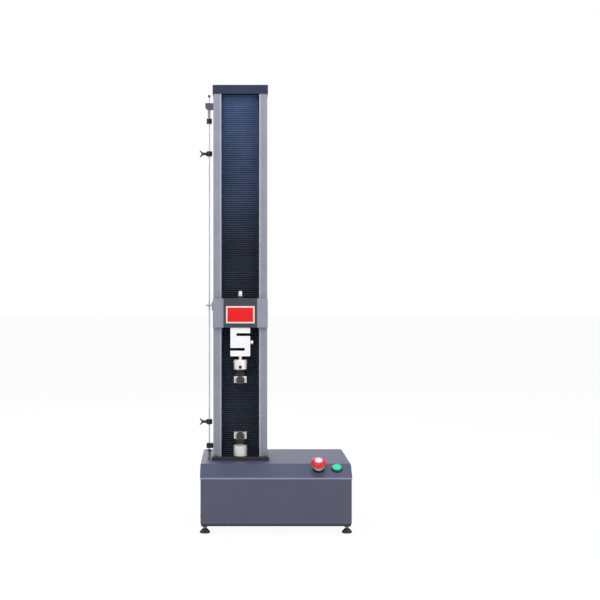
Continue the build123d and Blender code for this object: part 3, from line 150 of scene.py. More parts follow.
@dataclass(frozen=True)
class Finish:
    """A surface finish: a tone that drifts in patches, and fine grain in roughness and relief."""

    name: str
    tone: str
    drift: float = 0.12
    patch: float = 0.06
    metallic: float = 0.0
    roughness: float = 0.5
    spread: float = 0.1
    specular: float = 0.5
    grain: Grain = Grain.EVEN
    grain_size: float = 0.0012
    relief: float = 0.00003

    def material(self) -> bpy.types.Material:
        """Return this finish's material, making it at the first call."""
        known = bpy.data.materials.get(self.name)
        if known is not None:
            return known
        made = bpy.data.materials.new(self.name)
        made.use_nodes = True
        canvas = Canvas(made.node_tree)
        patches = self.noise(canvas, self.patch, PATCH_DETAIL, Grain.EVEN)
        marks = self.noise(canvas, self.grain_size, GRAIN_DETAIL, self.grain)
        gloss = {
            "Value": marks,
            "From Min": GRAIN_RANGE[0],
            "From Max": GRAIN_RANGE[1],
            "To Min": max(SMOOTHEST, self.roughness - self.spread),
            "To Max": min(1.0, self.roughness + self.spread),
        }
        heights = self.heights(canvas, marks)
        bump = {"Strength": 1.0, "Distance": self.relief, "Height": heights}
        look = {
            "Base Color": self.tones(canvas, patches),
            "Metallic": self.metallic,
            "Specular IOR Level": self.specular,
            "Roughness": canvas.add("MapRange", gloss).outputs["Result"],
            "Normal": canvas.add("Bump", bump).outputs["Normal"],
        }
        canvas.fill(canvas.tree.nodes["Principled BSDF"], look)
        return made

    @staticmethod
    def noise(canvas: Canvas, cell: float, detail: float, grain: Grain) -> Socket:
        """Add noise that is stretched along the grain.

        Args:
            canvas: The material's nodes.
            cell: The size of its cells in metres.
            detail: Octaves.
            grain: The direction of the marks.

        Returns:
            The noise value.
        """
        mapping = canvas.add("Mapping", {"Vector": canvas.place(), "Scale": grain.value})
        noise = {"Vector": mapping.outputs["Vector"], "Scale": 1.0 / cell, "Detail": detail}
        return canvas.add("TexNoise", noise).outputs["Fac"]

    def tones(self, canvas: Canvas, patches: Socket) -> Socket:
        """Add the colour, a little darker and lighter in patches.

        Args:
            canvas: The material's nodes.
            patches: Noise from 0 to 1.

        Returns:
            The colour.
        """
        return self.shaded(canvas, patches, self.tone)

    def shaded(self, canvas: Canvas, patches: Socket, tone: str) -> Socket:
        """Add a ramp from a darker to a lighter form of one tone.

        Args:
            canvas: The material's nodes.
            patches: Noise from 0 to 1.
            tone: Six hexadecimal digits.

        Returns:
            The colour.
        """
        ramp = canvas.add("ValToRGB", {"Fac": patches})
        colour = linear(tone)[:3]
        shares = (1.0 - self.drift, 1.0 + self.drift)
        for stop, position, share in zip(ramp.color_ramp.elements, RAMP_STOPS, shares):
            stop.position = position
            stop.color = (*[min(1.0, part * share) for part in colour], 1.0)
        return ramp.outputs["Color"]

    def heights(self, canvas: Canvas, marks: Socket) -> Socket:
        """Return what the relief follows, which is the grain itself.

        Args:
            canvas: The material's nodes, for the finishes that have ridges.
            marks: The grain.

        Returns:
            The height.
        """
        return marks


@dataclass(frozen=True)
class Ridged(Finish):
    """A finish with even ridges up the Z axis, such as a thread or turning marks."""

    pitch: float = 0.0015

    def heights(self, canvas: Canvas, marks: Socket) -> Socket:
        """Add ridges, which take the grain's place.

        Args:
            canvas: The material's nodes.
            marks: The grain, which isn't used.

        Returns:
            The height.
        """
        wave = {"Vector": canvas.place(), "Scale": tau / (WAVE_RATE * self.pitch)}
        return canvas.add("TexWave", wave, bands_direction="Z").outputs["Fac"]


@dataclass(frozen=True)
class TwoTone(Finish):
    """A finish whose tone changes along a direction, from one place to another."""

    far_tone: str = "000000"
    direction: Triple = UP
    near: float = 0.0
    far: float = 1.0

    def tones(self, canvas: Canvas, patches: Socket) -> Socket:
        """Add both tones, mixed by the place along the direction.

        Args:
            canvas: The material's nodes.
            patches: Noise from 0 to 1.

        Returns:
            The colour.
        """
        share = {"Value": self.reach(canvas), "From Min": self.near, "From Max": self.far}
        tones = {
            "Factor": canvas.add("MapRange", share).outputs["Result"],
            MIX_NEAR: self.shaded(canvas, patches, self.tone),
            MIX_FAR: self.shaded(canvas, patches, self.far_tone),
        }
        return canvas.add("Mix", tones, data_type="RGBA").outputs[MIX_RESULT]

    def reach(self, canvas: Canvas) -> Socket:
        """Add the length that picks between the tones: how far a place lies along the direction.

        Args:
            canvas: The material's nodes.

        Returns:
            The length.
        """
        along = {0: canvas.place(), 1: self.direction}
        return canvas.add("VectorMath", along, operation="DOT_PRODUCT").outputs["Value"]


@dataclass(frozen=True)
class AxisTone(TwoTone):
    """A finish whose tone changes with the distance from an upright axis."""

    axis: Point = (0.0, 0.0)

    def reach(self, canvas: Canvas) -> Socket:
        """Add the distance from the axis.

        Args:
            canvas: The material's nodes.

        Returns:
            The distance.
        """
        level = {0: canvas.place(), 1: (1.0, 1.0, 0.0)}
        flat = canvas.add("VectorMath", level, operation="MULTIPLY")
        away = {0: flat.outputs["Vector"], 1: (*self.axis, 0.0)}
        return canvas.add("VectorMath", away, operation="DISTANCE").outputs["Value"]


def middle(node: str) -> Vector:
    """Return the middle of a CAD node's box at rest."""
    low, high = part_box(node)
    return (low + high) / 2.0


CONSOLE_DEPTH = 0.047
LIP_HEIGHT = 0.0045
# The height over which the lip's painted highlight blends into the cover's darker tone.
LIP_HIGHLIGHT_BLUR = 0.0004
LIP_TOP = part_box("base_cover")[0].z + LIP_HEIGHT
CONSOLE_ANGLE = atan2(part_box("base_cover")[1].z - LIP_TOP, CONSOLE_DEPTH)
CONSOLE_NORMAL = (0.0, -sin(CONSOLE_ANGLE), cos(CONSOLE_ANGLE))

COLUMN_AXIS = (
    (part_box("column_left")[0].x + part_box("column_right")[1].x) / 2.0,
    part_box("column_left")[0].y,
)
# A lighter rim along the columns' inner edges, and its blend: a painted highlight where these
# edges catch the light.
COLUMN_HIGHLIGHT_RIM = 0.0032
COLUMN_HIGHLIGHT_BLUR = 0.001
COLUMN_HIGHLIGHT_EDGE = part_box("column_right")[0].x - COLUMN_AXIS[0] + COLUMN_HIGHLIGHT_RIM

# Where the grips' bodies turn dark, a leg's height from their jaw ends, and the blend: painted
# shade on their arches.
GRIP_LEG = 0.017
GRIP_SHADE_BLUR = 0.0015
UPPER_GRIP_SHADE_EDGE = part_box("upper_grip_body")[0].z + GRIP_LEG
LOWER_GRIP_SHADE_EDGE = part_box("lower_grip_body")[1].z - GRIP_LEG

# Where the lower adapter turns dark above its neck, and the blend: a painted shadow cast by the
# knob and grip.
ADAPTER_NECK = 0.0325
ADAPTER_SHADOW_BLUR = 0.001
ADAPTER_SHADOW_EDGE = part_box("lower_adapter")[0].z + ADAPTER_NECK

ROD_AXIS = (middle("limit_rod").x, middle("limit_rod").y)
ROD_RADIUS = 0.003
ROD_BLUR = 0.0005

# The heights between which the light on these pieces changes.
GUIDE_FADE = (0.3, 0.9)
BELLOWS_FADE = (0.76, 1.176)

HOUSING_PAINT = Finish("housing_paint", "424558", drift=0.04, roughness=0.5, relief=0.00005)
# Painted highlight: the cover's lip, up to LIP_TOP, is painted a lighter tone than the rest of
# the cover, for the light that its edge catches.
COVER_PAINT_LIP_HIGHLIGHT = TwoTone(
    "cover_paint_lip_highlight", "838695", drift=0.04, roughness=0.45, specular=0.13, relief=0.00005,
    far_tone="494C62", near=LIP_TOP - LIP_HIGHLIGHT_BLUR, far=LIP_TOP,
)
BLACK_PAINT = Finish("plate_black", "1B1C1F", roughness=0.45)
# Painted highlight: within the rim of their inner edges the columns take the lighter tone, and
# the darker tone beyond.
COLUMN_FINISH_EDGE_HIGHLIGHT = AxisTone(
    "column_anodised_edge_highlight", "A2A7BA", drift=0.05, metallic=0.35, roughness=0.42, grain=Grain.ALONG_Z,
    grain_size=0.0006, relief=0.00002, far_tone="898A95", near=COLUMN_HIGHLIGHT_EDGE,
    far=COLUMN_HIGHLIGHT_EDGE + COLUMN_HIGHLIGHT_BLUR, axis=COLUMN_AXIS,
)
CAP_PAINT = Finish("cap_paint", "242F44", drift=0.06, roughness=0.45, specular=0.2)
ARM_PAINT = Finish("arm_paint", "818390", drift=0.05, roughness=0.45, relief=0.00004)
COVER_PLATE_PAINT = Finish("cover_plate_paint", "2A2E38", drift=0.08, roughness=0.4)
LABEL_RED = Finish("label_red", "D8161A", drift=0.03, roughness=0.4, specular=0.2)
LABEL_CREAM = Finish("label_cream", "DDD3C8", drift=0.03, roughness=0.4)
BRIGHT_STEEL = Finish(
    "cell_nickel", "EDEDF0", drift=0.04, metallic=0.55, roughness=0.32, grain=Grain.ALONG_X,
    grain_size=0.0005,
)
TURNED_STEEL = Ridged(
    "turned_steel", "DADADC", drift=0.06, metallic=0.8, roughness=0.3, relief=0.00001,
    pitch=0.0004,
)
GROUND = {"drift": 0.1, "metallic": 0.8, "roughness": 0.34, "grain_size": 0.0006}
GROUND_STEEL = Finish("ground_steel", "B9BABC", **GROUND, grain=Grain.ALONG_X)
# Painted shade: the upper grip's body is bright steel up its legs and dark above, where its arch
# lies in shade.
UPPER_GRIP_STEEL_PAINTED_SHADE = TwoTone(
    "upper_grip_steel_painted_shade", "C9CACC", **GROUND, far_tone="3B3A38", near=UPPER_GRIP_SHADE_EDGE,
    far=UPPER_GRIP_SHADE_EDGE + GRIP_SHADE_BLUR,
)
# Painted shade: the lower grip's body is dark below its legs, where its arch lies in shade, and
# bright steel above.
LOWER_GRIP_STEEL_PAINTED_SHADE = TwoTone(
    "lower_grip_steel_painted_shade", "2E2D2C", **GROUND, far_tone="C9CACC", near=LOWER_GRIP_SHADE_EDGE - GRIP_SHADE_BLUR,
    far=LOWER_GRIP_SHADE_EDGE,
)
ROD_STEEL = AxisTone(
    "rod_steel", "E4E4E8", drift=0.05, metallic=0.25, roughness=0.3, grain=Grain.ALONG_Z,
    grain_size=0.0005, far_tone="1A1B20", near=ROD_RADIUS, far=ROD_RADIUS + ROD_BLUR,
    axis=ROD_AXIS,
)
NICKEL = {"drift": 0.03, "metallic": 0.4, "roughness": 0.32, "spread": 0.03}
ADAPTER_NICKEL = Finish(
    "adapter_nickel", "E2DFD8", **NICKEL, grain=Grain.ALONG_X, grain_size=0.0005,
)
# Painted shadow: the lower adapter is bright below its neck and dark above, for the shadow of the
# knob and grip.
LOWER_ADAPTER_PAINTED_SHADOW = TwoTone(
    "lower_adapter_nickel_painted_shadow", "DCD9D3", **NICKEL, grain=Grain.ALONG_X, grain_size=0.0005,
    far_tone="2E2D2C", near=ADAPTER_SHADOW_EDGE, far=ADAPTER_SHADOW_EDGE + ADAPTER_SHADOW_BLUR,
)
DARK_STEEL = Finish("stop_steel", "1A1B20", drift=0.15, metallic=0.3, roughness=0.42)
# Painted light: the rod guides are dark low down and lighter higher up, for the light that falls
# on them.
GUIDE_PAINT_PAINTED_LIGHT = TwoTone(
    "guide_paint_painted_light", "1A1B20", drift=0.1, metallic=0.3, roughness=0.45, far_tone="4B4A60",
    near=GUIDE_FADE[0], far=GUIDE_FADE[1],
)
THREAD_STEEL = Ridged(
    "threaded_steel", "B4B5B8", drift=0.08, metallic=0.8, roughness=0.35, relief=0.0004
)
KNOB_PLASTIC = Finish(
    "knob_plastic", "373431", drift=0.1, roughness=0.5, specular=0.3, relief=0.00006
)
# Painted sheen: the cloth is dark low down and turns a lighter blue up the upper bellows, for the
# light that its folds reflect.
BELLOWS_CLOTH_PAINTED_SHEEN = TwoTone(
    "bellows_cloth_painted_sheen", "373D4A", roughness=0.42, specular=0.6, grain_size=0.0007, relief=0.00006,
    far_tone="60759A", near=BELLOWS_FADE[0], far=BELLOWS_FADE[1],
)
PAD_RUBBER = Finish("foot_rubber", "262B34", drift=0.2, roughness=0.75, relief=0.00008)
BELT_RUBBER = Finish("tooth_belt", "161617", drift=0.2, roughness=0.8, relief=0.0001)
MOTOR_PAINT = Finish("motor_paint", "202124", drift=0.1, roughness=0.4)
PULLEY_METAL = Ridged("pulley_metal", "B7B9BE", metallic=0.8, roughness=0.35, pitch=0.0005)
DRIVE_CASE = Finish("drive_shell", "C9CACA", drift=0.03, roughness=0.5)
SOCKET_PLASTIC = Finish("socket_plastic", "1C1C1E", drift=0.1, roughness=0.4)
ESTOP_RED = Finish("mushroom_red", "D8101C", drift=0.05, roughness=0.35, specular=0.3)
START_GREEN = Finish("cap_green", "04CC92", drift=0.05, roughness=0.35, specular=0.2)
STEM_PLASTIC = Finish("stem_plastic", "6C6C70", drift=0.05, roughness=0.45)
RING_RED = Finish("ring_red", "6E141C", drift=0.05, roughness=0.4)
DISC_GREY = Finish("disc_grey", "C9CDD2", drift=0.04, roughness=0.35)
BRASS_PIN = Finish("pin_brass", "C8A860", drift=0.08, metallic=0.9, roughness=0.3)
SCREW_STEEL = Finish("screw_steel", "55575E", drift=0.1, metallic=0.8, roughness=0.35)

NODE_FINISHES: dict[Finish, tuple[str, ...]] = {
    BLACK_PAINT: ("base_plate", "base_frame", "column_foot_plate"),
    HOUSING_PAINT: ("base_housing", "rear_panel"),
    COVER_PAINT_LIP_HIGHLIGHT: ("base_cover",),
    SOCKET_PLASTIC: ("rear_sockets", "limit_switch", "start_bezel", "mains_rocker"),
    MOTOR_PAINT: ("servo_motor",),
    BELT_RUBBER: ("drive_belt",),
    DRIVE_CASE: ("servo_drive",),
    COLUMN_FINISH_EDGE_HIGHLIGHT: ("column_left", "column_right", "column_back"),
    CAP_PAINT: ("top_cap",),
    GROUND_STEEL: (
        "guide_rails", "bearing_blocks", "guide_carriages", "crosshead_bracket", "upper_jaw",
        "lower_jaw",
    ),
    LOWER_ADAPTER_PAINTED_SHADOW: ("lower_adapter",),
    LOWER_GRIP_STEEL_PAINTED_SHADE: ("lower_grip_body",),
    GUIDE_PAINT_PAINTED_LIGHT: ("rod_guides",),
    DARK_STEEL: ("upper_stop", "upper_stop_screw", "lower_stop", "lower_stop_screw"),
    TURNED_STEEL: ("ball_nut", "load_train_fasteners", "ball_screw"),
    ARM_PAINT: ("crosshead_arm", "limit_striker"),
    COVER_PLATE_PAINT: ("crosshead_cover",),
    BRIGHT_STEEL: ("load_cell",),
    ADAPTER_NICKEL: ("upper_adapter",),
    PULLEY_METAL: ("screw_pulley", "motor_pulley"),
    UPPER_GRIP_STEEL_PAINTED_SHADE: ("upper_grip_body",),
    KNOB_PLASTIC: ("upper_grip_screw", "lower_grip_screw"),
    ROD_STEEL: ("limit_rod",),
    STEM_PLASTIC: ("estop_plunger",),
    ESTOP_RED: ("estop_head",),
    START_GREEN: ("start_button",),
}


def dress(node: str, finish: Finish) -> None:
    """Give a CAD node its finish.

    Args:
        node: The node's name.
        finish: The finish that it takes.
    """
    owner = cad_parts[node]
    if not owner.material_slots:
        owner.data.materials.append(None)
    for place in owner.material_slots:
        place.material = finish.material()


def turned(profile: Sequence[Point], steps: int = 40, closed: bool = False) -> Mesh:
    """Spin a profile about Z.

    Args:
        profile: Points as radius and height, from one end to the other.
        steps: Faces round the axis.
        closed: True where the last point joins the first, as on a ring.

    Returns:
        The turned shape, closed at its poles.
    """
    mesh = bmesh.new()
    points = [mesh.verts.new((radius, 0.0, height)) for radius, height in profile]
    pairs = list(zip(points, points[1:]))
    if closed:
        pairs.append((points[-1], points[0]))
    edges = [mesh.edges.new(pair) for pair in pairs]
    bmesh.ops.spin(
        mesh, geom=points + edges, cent=(0, 0, 0), axis=UP, angle=tau, steps=steps, use_merge=True
    )
    bmesh.ops.remove_doubles(mesh, verts=mesh.verts, dist=TINY)
    bmesh.ops.recalc_face_normals(mesh, faces=mesh.faces)
    return mesh


def ring(
    bore: float, outer: float, height: float, edge: float, steps: int, start: float = 0.0
) -> Mesh:
    """Make a ring or a nut about Z, with its upper outer edge chamfered.

    Args:
        bore: The hole's radius.
        outer: The outer radius.
        height: The height.
        edge: The chamfer's size.
        steps: Faces round the axis, so 6 for a nut.
        start: The height at which it begins.

    Returns:
        The ring.
    """
    top = start + height
    side = [(bore, start), (outer, start), (outer, top - edge), (outer - edge, top), (bore, top)]
    return turned(side, steps=steps, closed=True)


def soften(mesh: Mesh, edges: Sequence[Edge], size: float, segments: int) -> None:
    """Round a mesh's edges.

    Args:
        mesh: The mesh.
        edges: The edges to round.
        size: How far each side is cut back.
        segments: Faces across each edge.
    """
    bmesh.ops.bevel(
        mesh, geom=edges, offset=size, offset_type="OFFSET", affect="EDGES", segments=segments,
        profile=0.5, material=-1,
    )


def bar(low: Sequence[float], high: Sequence[float], edge: float) -> Mesh:
    """Make a block between two corners, with its edges rounded.

    Args:
        low: The lowest corner.
        high: The highest corner.
        edge: The edge radius.

    Returns:
        The block.
    """
    mesh = bmesh.new()
    bmesh.ops.create_cube(mesh, size=1.0)
    size = Vector(high) - Vector(low)
    bmesh.ops.scale(mesh, vec=size, verts=mesh.verts)
    bmesh.ops.translate(mesh, vec=(Vector(high) + Vector(low)) / 2.0, verts=mesh.verts)
    soften(mesh, mesh.edges, edge, segments=3)
    return mesh


def facing(origin: Sequence[float], direction: Sequence[float]) -> Matrix:
    """Return the placement that turns Z to a direction and moves to an origin."""
    turn = Vector(UP).rotation_difference(Vector(direction))
    return Matrix.Translation(origin) @ turn.to_matrix().to_4x4()


def placed(mesh: Mesh, place: Matrix) -> Mesh:
    """Move a mesh to its place and return it."""
    bmesh.ops.transform(mesh, matrix=place, verts=mesh.verts)
    return mesh


def joined(meshes: Sequence[Mesh]) -> Mesh:
    """Put several meshes into the first.

    Args:
        meshes: The meshes, of which all but the first are used up.

    Returns:
        The first mesh.
    """
    first = meshes[0]
    for other in meshes[1:]:
        carrier = bpy.data.meshes.new("carrier")
        other.to_mesh(carrier)
        other.free()
        first.from_mesh(carrier)
        bpy.data.meshes.remove(carrier)
    return first


@dataclass(frozen=True)
class ScrewHead:
    """A screw head with a hexagon socket. Its shares are parts of its radius or height."""

    radius: float
    height: float
    domed: bool = False
    dome_share: float = 0.55
    side_share: float = 0.75
    crown_share: float = 0.88
    rim_share: float = 0.6
    socket_share: float = 0.5
    depth_share: float = 0.5

    def mesh(self) -> Mesh:
        """Return the head, standing on Z = 0."""
        radius, height = self.radius, self.height
        top = height * (self.dome_share if self.domed else 1.0)
        crown = [(radius * self.crown_share, top), (radius * self.rim_share, height)]
        side = [(0.0, 0.0), (radius, 0.0), (radius, top * self.side_share)]
        mesh = turned(side + crown, steps=24)
        rim = [edge for edge in mesh.edges if edge.is_boundary]
        socket = bmesh.ops.create_circle(
            mesh, cap_ends=False, radius=radius * self.socket_share, segments=6
        )["verts"]
        bmesh.ops.translate(mesh, vec=(0.0, 0.0, height), verts=socket)
        hexagon = [edge for edge in mesh.edges if all(vert in socket for vert in edge.verts)]
        bmesh.ops.bridge_loops(mesh, edges=rim + hexagon)
        walls = bmesh.ops.extrude_edge_only(mesh, edges=hexagon)["geom"]
        bottom = [item for item in walls if isinstance(item, Vert)]
        bmesh.ops.translate(mesh, vec=(0.0, 0.0, -height * self.depth_share), verts=bottom)
        outline = [item for item in walls if isinstance(item, Edge)]
        bmesh.ops.contextual_create(mesh, geom=outline)
        bmesh.ops.recalc_face_normals(mesh, faces=mesh.faces)
        return mesh


def folded(
    low: Vector, high: Vector, face: float, pitch: float, depth: float, strips: int = 1,
    margin: float = 0.0,
) -> tuple[Mesh, list[Vert]]:
    """Fold an upright sheet into ridges.

    Args:
        low: The lowest corner of the box that it fills.
        high: The highest corner.
        face: The sheet's place along Y.
        pitch: The height of a pair of folds.
        depth: How far every second row stands behind the sheet.
        strips: Faces across its width.
        margin: How much smaller than the box it is.

    Returns:
        The sheet and the vertices of every second row.
    """
    folds = 2 * round((high.z - low.z) / pitch)
    rise = (high.z - low.z) / folds
    mesh = bmesh.new()
    bmesh.ops.create_grid(mesh, x_segments=strips, y_segments=folds, size=0.5)
    size = (high.x - low.x - margin, high.z - low.z - margin, 1.0)
    bmesh.ops.scale(mesh, vec=size, verts=mesh.verts)
    centre = ((low.x + high.x) / 2.0, face, (low.z + high.z) / 2.0)
    placed(mesh, Matrix.Translation(centre) @ Matrix.Rotation(pi / 2.0, 4, "X"))
    rows = [v for v in mesh.verts if round((v.co.z - low.z) / rise) % 2 == 1]
    bmesh.ops.translate(mesh, vec=(0.0, depth, 0.0), verts=rows)
    return mesh, rows


def link_piece(name: str, mesh: Mesh, finish: Finish) -> bpy.types.Object:
    """Make an object of a finished mesh, with its finish.

    Args:
        name: The piece's name.
        mesh: The finished mesh, which is used up.
        finish: The finish that it takes.

    Returns:
        The object, at the origin.
    """
    data = bpy.data.meshes.new(name)
    mesh.to_mesh(data)
    mesh.free()
    data.shade_smooth()
    data.set_sharp_from_angle(angle=SHARP_ANGLE)
    data.materials.append(finish.material())
    piece = bpy.data.objects.new(name, data)
    bpy.context.scene.collection.objects.link(piece)
    LOG.info("made %s with %d faces", name, len(data.polygons))
    return piece


def riding_piece(name: str, mesh: Mesh, finish: Finish, body: str) -> None:
    """Make a piece that rides on one body.

    Args:
        name: The piece's name.
        mesh: The finished mesh, which is used up.
        finish: The finish that it takes.
        body: The body that it rides on.
    """
    piece = link_piece(name, mesh, finish)
    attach(piece, body)


def screws(
    name: str, head: ScrewHead, places: Sequence[tuple[Triple, Triple]],
    body: str = "frame",
) -> None:
    """Make equal screws as one piece.

    Args:
        name: The piece's name.
        head: The form of each head.
        places: Where each head stands and the direction that it faces.
        body: The body that they ride on.
    """
    heads = [placed(head.mesh(), facing(origin, direction)) for origin, direction in places]
    riding_piece(name, joined(heads), SCREW_STEEL, body)


@dataclass
class LevellingFeet:
    """The lock nuts that hold the feet's studs against the bottom plate."""

    nut_radius: float = 0.0104
    nut_bore: float = 0.0053
    nut_edge: float = 0.001
    nut_gap: float = 0.0001
    nut_height: float = 0.0038
    corners: tuple[str, ...] = ("front_left", "front_right", "rear_left", "rear_right")

    def nut(self) -> Mesh:
        """Return a hexagon nut with chamfered corners, standing on Z = 0."""
        edge, outer, top = self.nut_edge, self.nut_radius, self.nut_height
        side = [(outer - edge, 0.0), (outer, edge), (outer, top - edge), (outer - edge, top)]
        return turned([(self.nut_bore, 0.0), *side, (self.nut_bore, top)], steps=6, closed=True)

    def build(self) -> None:
        """Make the nuts and dress the feet."""
        plate_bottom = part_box("base_plate")[0].z
        for corner in self.corners:
            dress(f"{corner}_foot_pad", PAD_RUBBER)
            dress(f"{corner}_foot_stud", THREAD_STEEL)
            centre = middle(f"{corner}_foot_stud")
            centre.z = plate_bottom - self.nut_gap - self.nut_height
            nut = placed(self.nut(), Matrix.Translation(centre))
            riding_piece(f"{corner}_lock_nut", nut, BLACK_PAINT, "frame")


@dataclass
class Base:
    """The screws of the housing and the rear panel, and the mains inlet's pins."""

    head: ScrewHead = ScrewHead(0.0035, 0.0018, domed=True)
    side_screws: int = 3
    side_margin: float = 0.045
    side_height: float = 0.015
    rear_margin: float = 0.009
    inlet_inset: float = 0.020
    inlet_height: float = 0.040
    inlet_floor: float = 0.0155
    pin_size: Triple = (0.002, 0.013, 0.004)
    pin_places: tuple[Point, ...] = ((-0.006, -0.002), (0.0, 0.003), (0.006, -0.002))
    pin_edge: float = 0.0003

    def build(self) -> None:
        """Make the pieces that ride on the base."""
        self.housing_screws()
        self.rear_screws()
        self.inlet_pins()

    def housing_screws(self) -> None:
        """Put a row of screws low on each side of the housing."""
        low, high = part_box("base_housing")
        step = (high.y - low.y - 2.0 * self.side_margin) / (self.side_screws - 1)
        places = [
            ((x, low.y + self.side_margin + step * place, low.z + self.side_height), direction)
            for x, direction in ((low.x, (-1.0, 0.0, 0.0)), (high.x, RIGHT))
            for place in range(self.side_screws)
        ]
        screws("housing_screws", self.head, places)

    def rear_screws(self) -> None:
        """Put screws round the rear panel's edge."""
        low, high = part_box("rear_panel")
        inset = self.rear_margin
        places = [
            ((x, high.y, z), BACK)
            for x in (low.x + inset, (low.x + high.x) / 2.0, high.x - inset)
            for z in (low.z + inset, high.z - inset)
        ]
        screws("rear_panel_screws", self.head, places)

    def inlet_pins(self) -> None:
        """Put the three flat pins into the mains inlet, on its floor."""
        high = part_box("rear_sockets")[1]
        inlet_x = high.x - self.inlet_inset
        inlet_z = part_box("rear_panel")[0].z + self.inlet_height
        floor_y = high.y - self.inlet_floor
        width, length, height = self.pin_size
        pins = []
        for dx, dz in self.pin_places:
            start = (inlet_x + dx - width / 2.0, floor_y, inlet_z + dz - height / 2.0)
            end = (inlet_x + dx + width / 2.0, floor_y + length, inlet_z + dz + height / 2.0)
            pins.append(bar(start, end, edge=self.pin_edge))
        riding_piece("inlet_pins", joined(pins), BRASS_PIN, "frame")


@dataclass
class Console:
    """The two tones of the emergency stop's collar, and the ring and disc on its head."""

    along_slope: float = 0.0355
    collar_edge: float = 0.0041
    collar_blur: float = 0.0002
    head_top: float = 0.0290
    ring_radius: float = 0.0118
    ring_height: float = 0.0009
    ring_edge: float = 0.0004
    disc_radius: float = 0.0102
    disc_height: float = 0.0016
    disc_side: float = 0.7
    disc_crown: float = 0.85

    def centre(self) -> Vector:
        """Return the place on the sloped console under the emergency stop."""
        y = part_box("base_cover")[0].y + self.along_slope * cos(CONSOLE_ANGLE)
        z = LIP_TOP + self.along_slope * sin(CONSOLE_ANGLE)
        return Vector((middle("estop_head").x, y, z))

    def build(self) -> None:
        """Dress the collar and put the ring and disc on the head."""
        centre = self.centre()
        normal = Vector(CONSOLE_NORMAL)
        edge = centre.dot(normal) + self.collar_edge
        collar = TwoTone(
            "collar_two_tone", "17171A", drift=0.05, roughness=0.4, far_tone="E6DBC2",
            direction=CONSOLE_NORMAL, near=edge, far=edge + self.collar_blur,
        )
        dress("estop_collar", collar)
        top = facing(centre + normal * self.head_top, normal)
        inner, outer, height = self.disc_radius, self.ring_radius, self.ring_height
        side = [(inner, 0.0), (outer, 0.0), (outer - self.ring_edge, height), (inner, height)]
        ring_mesh = placed(turned(side, closed=True), top)
        riding_piece("estop_ring", ring_mesh, RING_RED, "estop_mushroom")
        height = self.disc_height
        crown = [(inner, height * self.disc_side), (inner * self.disc_crown, height)]
        disc_mesh = placed(turned([(0.0, 0.0), (inner, 0.0), *crown, (0.0, height)]), top)
        riding_piece("estop_disc", disc_mesh, DISC_GREY, "estop_mushroom")


@dataclass
class Bellows:
    """A pleated cover in front of the screw, standing between the column and the crosshead.

    The field beyond is not used.
    """

    name: str
    node: str
    fixed_end: float
    pitch: float = 0.006
    cloth: float = 0.0009
    inset: float = 0.0025
    clearance: float = 0.004
    crease: float = 0.0007
    strips: int = 4
    beyond: float = 0.0

    def pleated(self) -> Mesh:
        """Fold a grid into pleats that are narrower at their valleys.

        Returns:
            The pleated sheet with its thickness.
        """
        low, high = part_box(self.node)
        depth = high.y - low.y - self.clearance
        mesh, valleys = folded(low, high, low.y, self.pitch, depth, strips=self.strips)
        centre = Matrix.Translation((-(low.x + high.x) / 2.0, 0.0, 0.0))
        share = 1.0 - 2.0 * self.inset / (high.x - low.x)
        bmesh.ops.scale(mesh, vec=(share, 1.0, 1.0), space=centre, verts=valleys)
        creases = [
            edge
            for edge in mesh.edges
            if abs(edge.verts[0].co.z - edge.verts[1].co.z) < TINY and not edge.is_boundary
        ]
        soften(mesh, creases, self.crease, segments=2)
        bmesh.ops.recalc_face_normals(mesh, faces=mesh.faces)
        bmesh.ops.solidify(mesh, geom=mesh.faces, thickness=self.cloth)
        return mesh

    def build(self) -> None:
        """Make the pleats where the CAD cover stands, and hide the CAD cover."""
        piece = link_piece(self.name, self.pleated(), BELLOWS_CLOTH_PAINTED_SHEEN)
        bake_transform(piece)
        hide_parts(self.node)


@dataclass
class Column:
    """The screws of the column's cap, back plate and foot plate."""

    cap_head: ScrewHead = ScrewHead(0.0045, 0.0008, domed=True)
    cap_inset: float = 0.018
    cap_sink: float = 0.0006
    plate_head: ScrewHead = ScrewHead(0.005, 0.003)
    back_count: int = 9
    back_gauge: float = 0.046
    back_margin: float = 0.05
    foot_inset: float = 0.0095

    def build(self) -> None:
        """Make the column's fasteners."""
        low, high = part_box("top_cap")
        cap_places = self.corners(low, high, self.cap_inset, high.z - self.cap_sink)
        screws("cap_screws", self.cap_head, cap_places)
        self.back_screws()
        low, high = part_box("column_foot_plate")
        foot_places = self.corners(low, high, self.foot_inset, high.z)
        screws("foot_plate_screws", self.plate_head, foot_places)

    @staticmethod
    def corners(
        low: Vector, high: Vector, inset: float, height: float
    ) -> list[tuple[Triple, Triple]]:
        """Return the places of four upright screws at a box's corners.

        Args:
            low: The box's lowest corner.
            high: The box's highest corner.
            inset: How far inside the corners they stand.
            height: Their height.

        Returns:
            Where each stands and the direction that it faces.
        """
        return [
            ((x, y, height), UP)
            for x in (low.x + inset, high.x - inset)
            for y in (low.y + inset, high.y - inset)
        ]

    def back_screws(self) -> None:
        """Put two rows of screws on the back plate, where the rails are bolted."""
        low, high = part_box("column_back")
        centre = (low.x + high.x) / 2.0
        step = (high.z - low.z - 2.0 * self.back_margin) / (self.back_count - 1)
        places = [
            ((centre + offset, high.y, low.z + self.back_margin + step * place), BACK)
            for offset in (-self.back_gauge, self.back_gauge)
            for place in range(self.back_count)
        ]
        screws("back_plate_screws", self.plate_head, places)


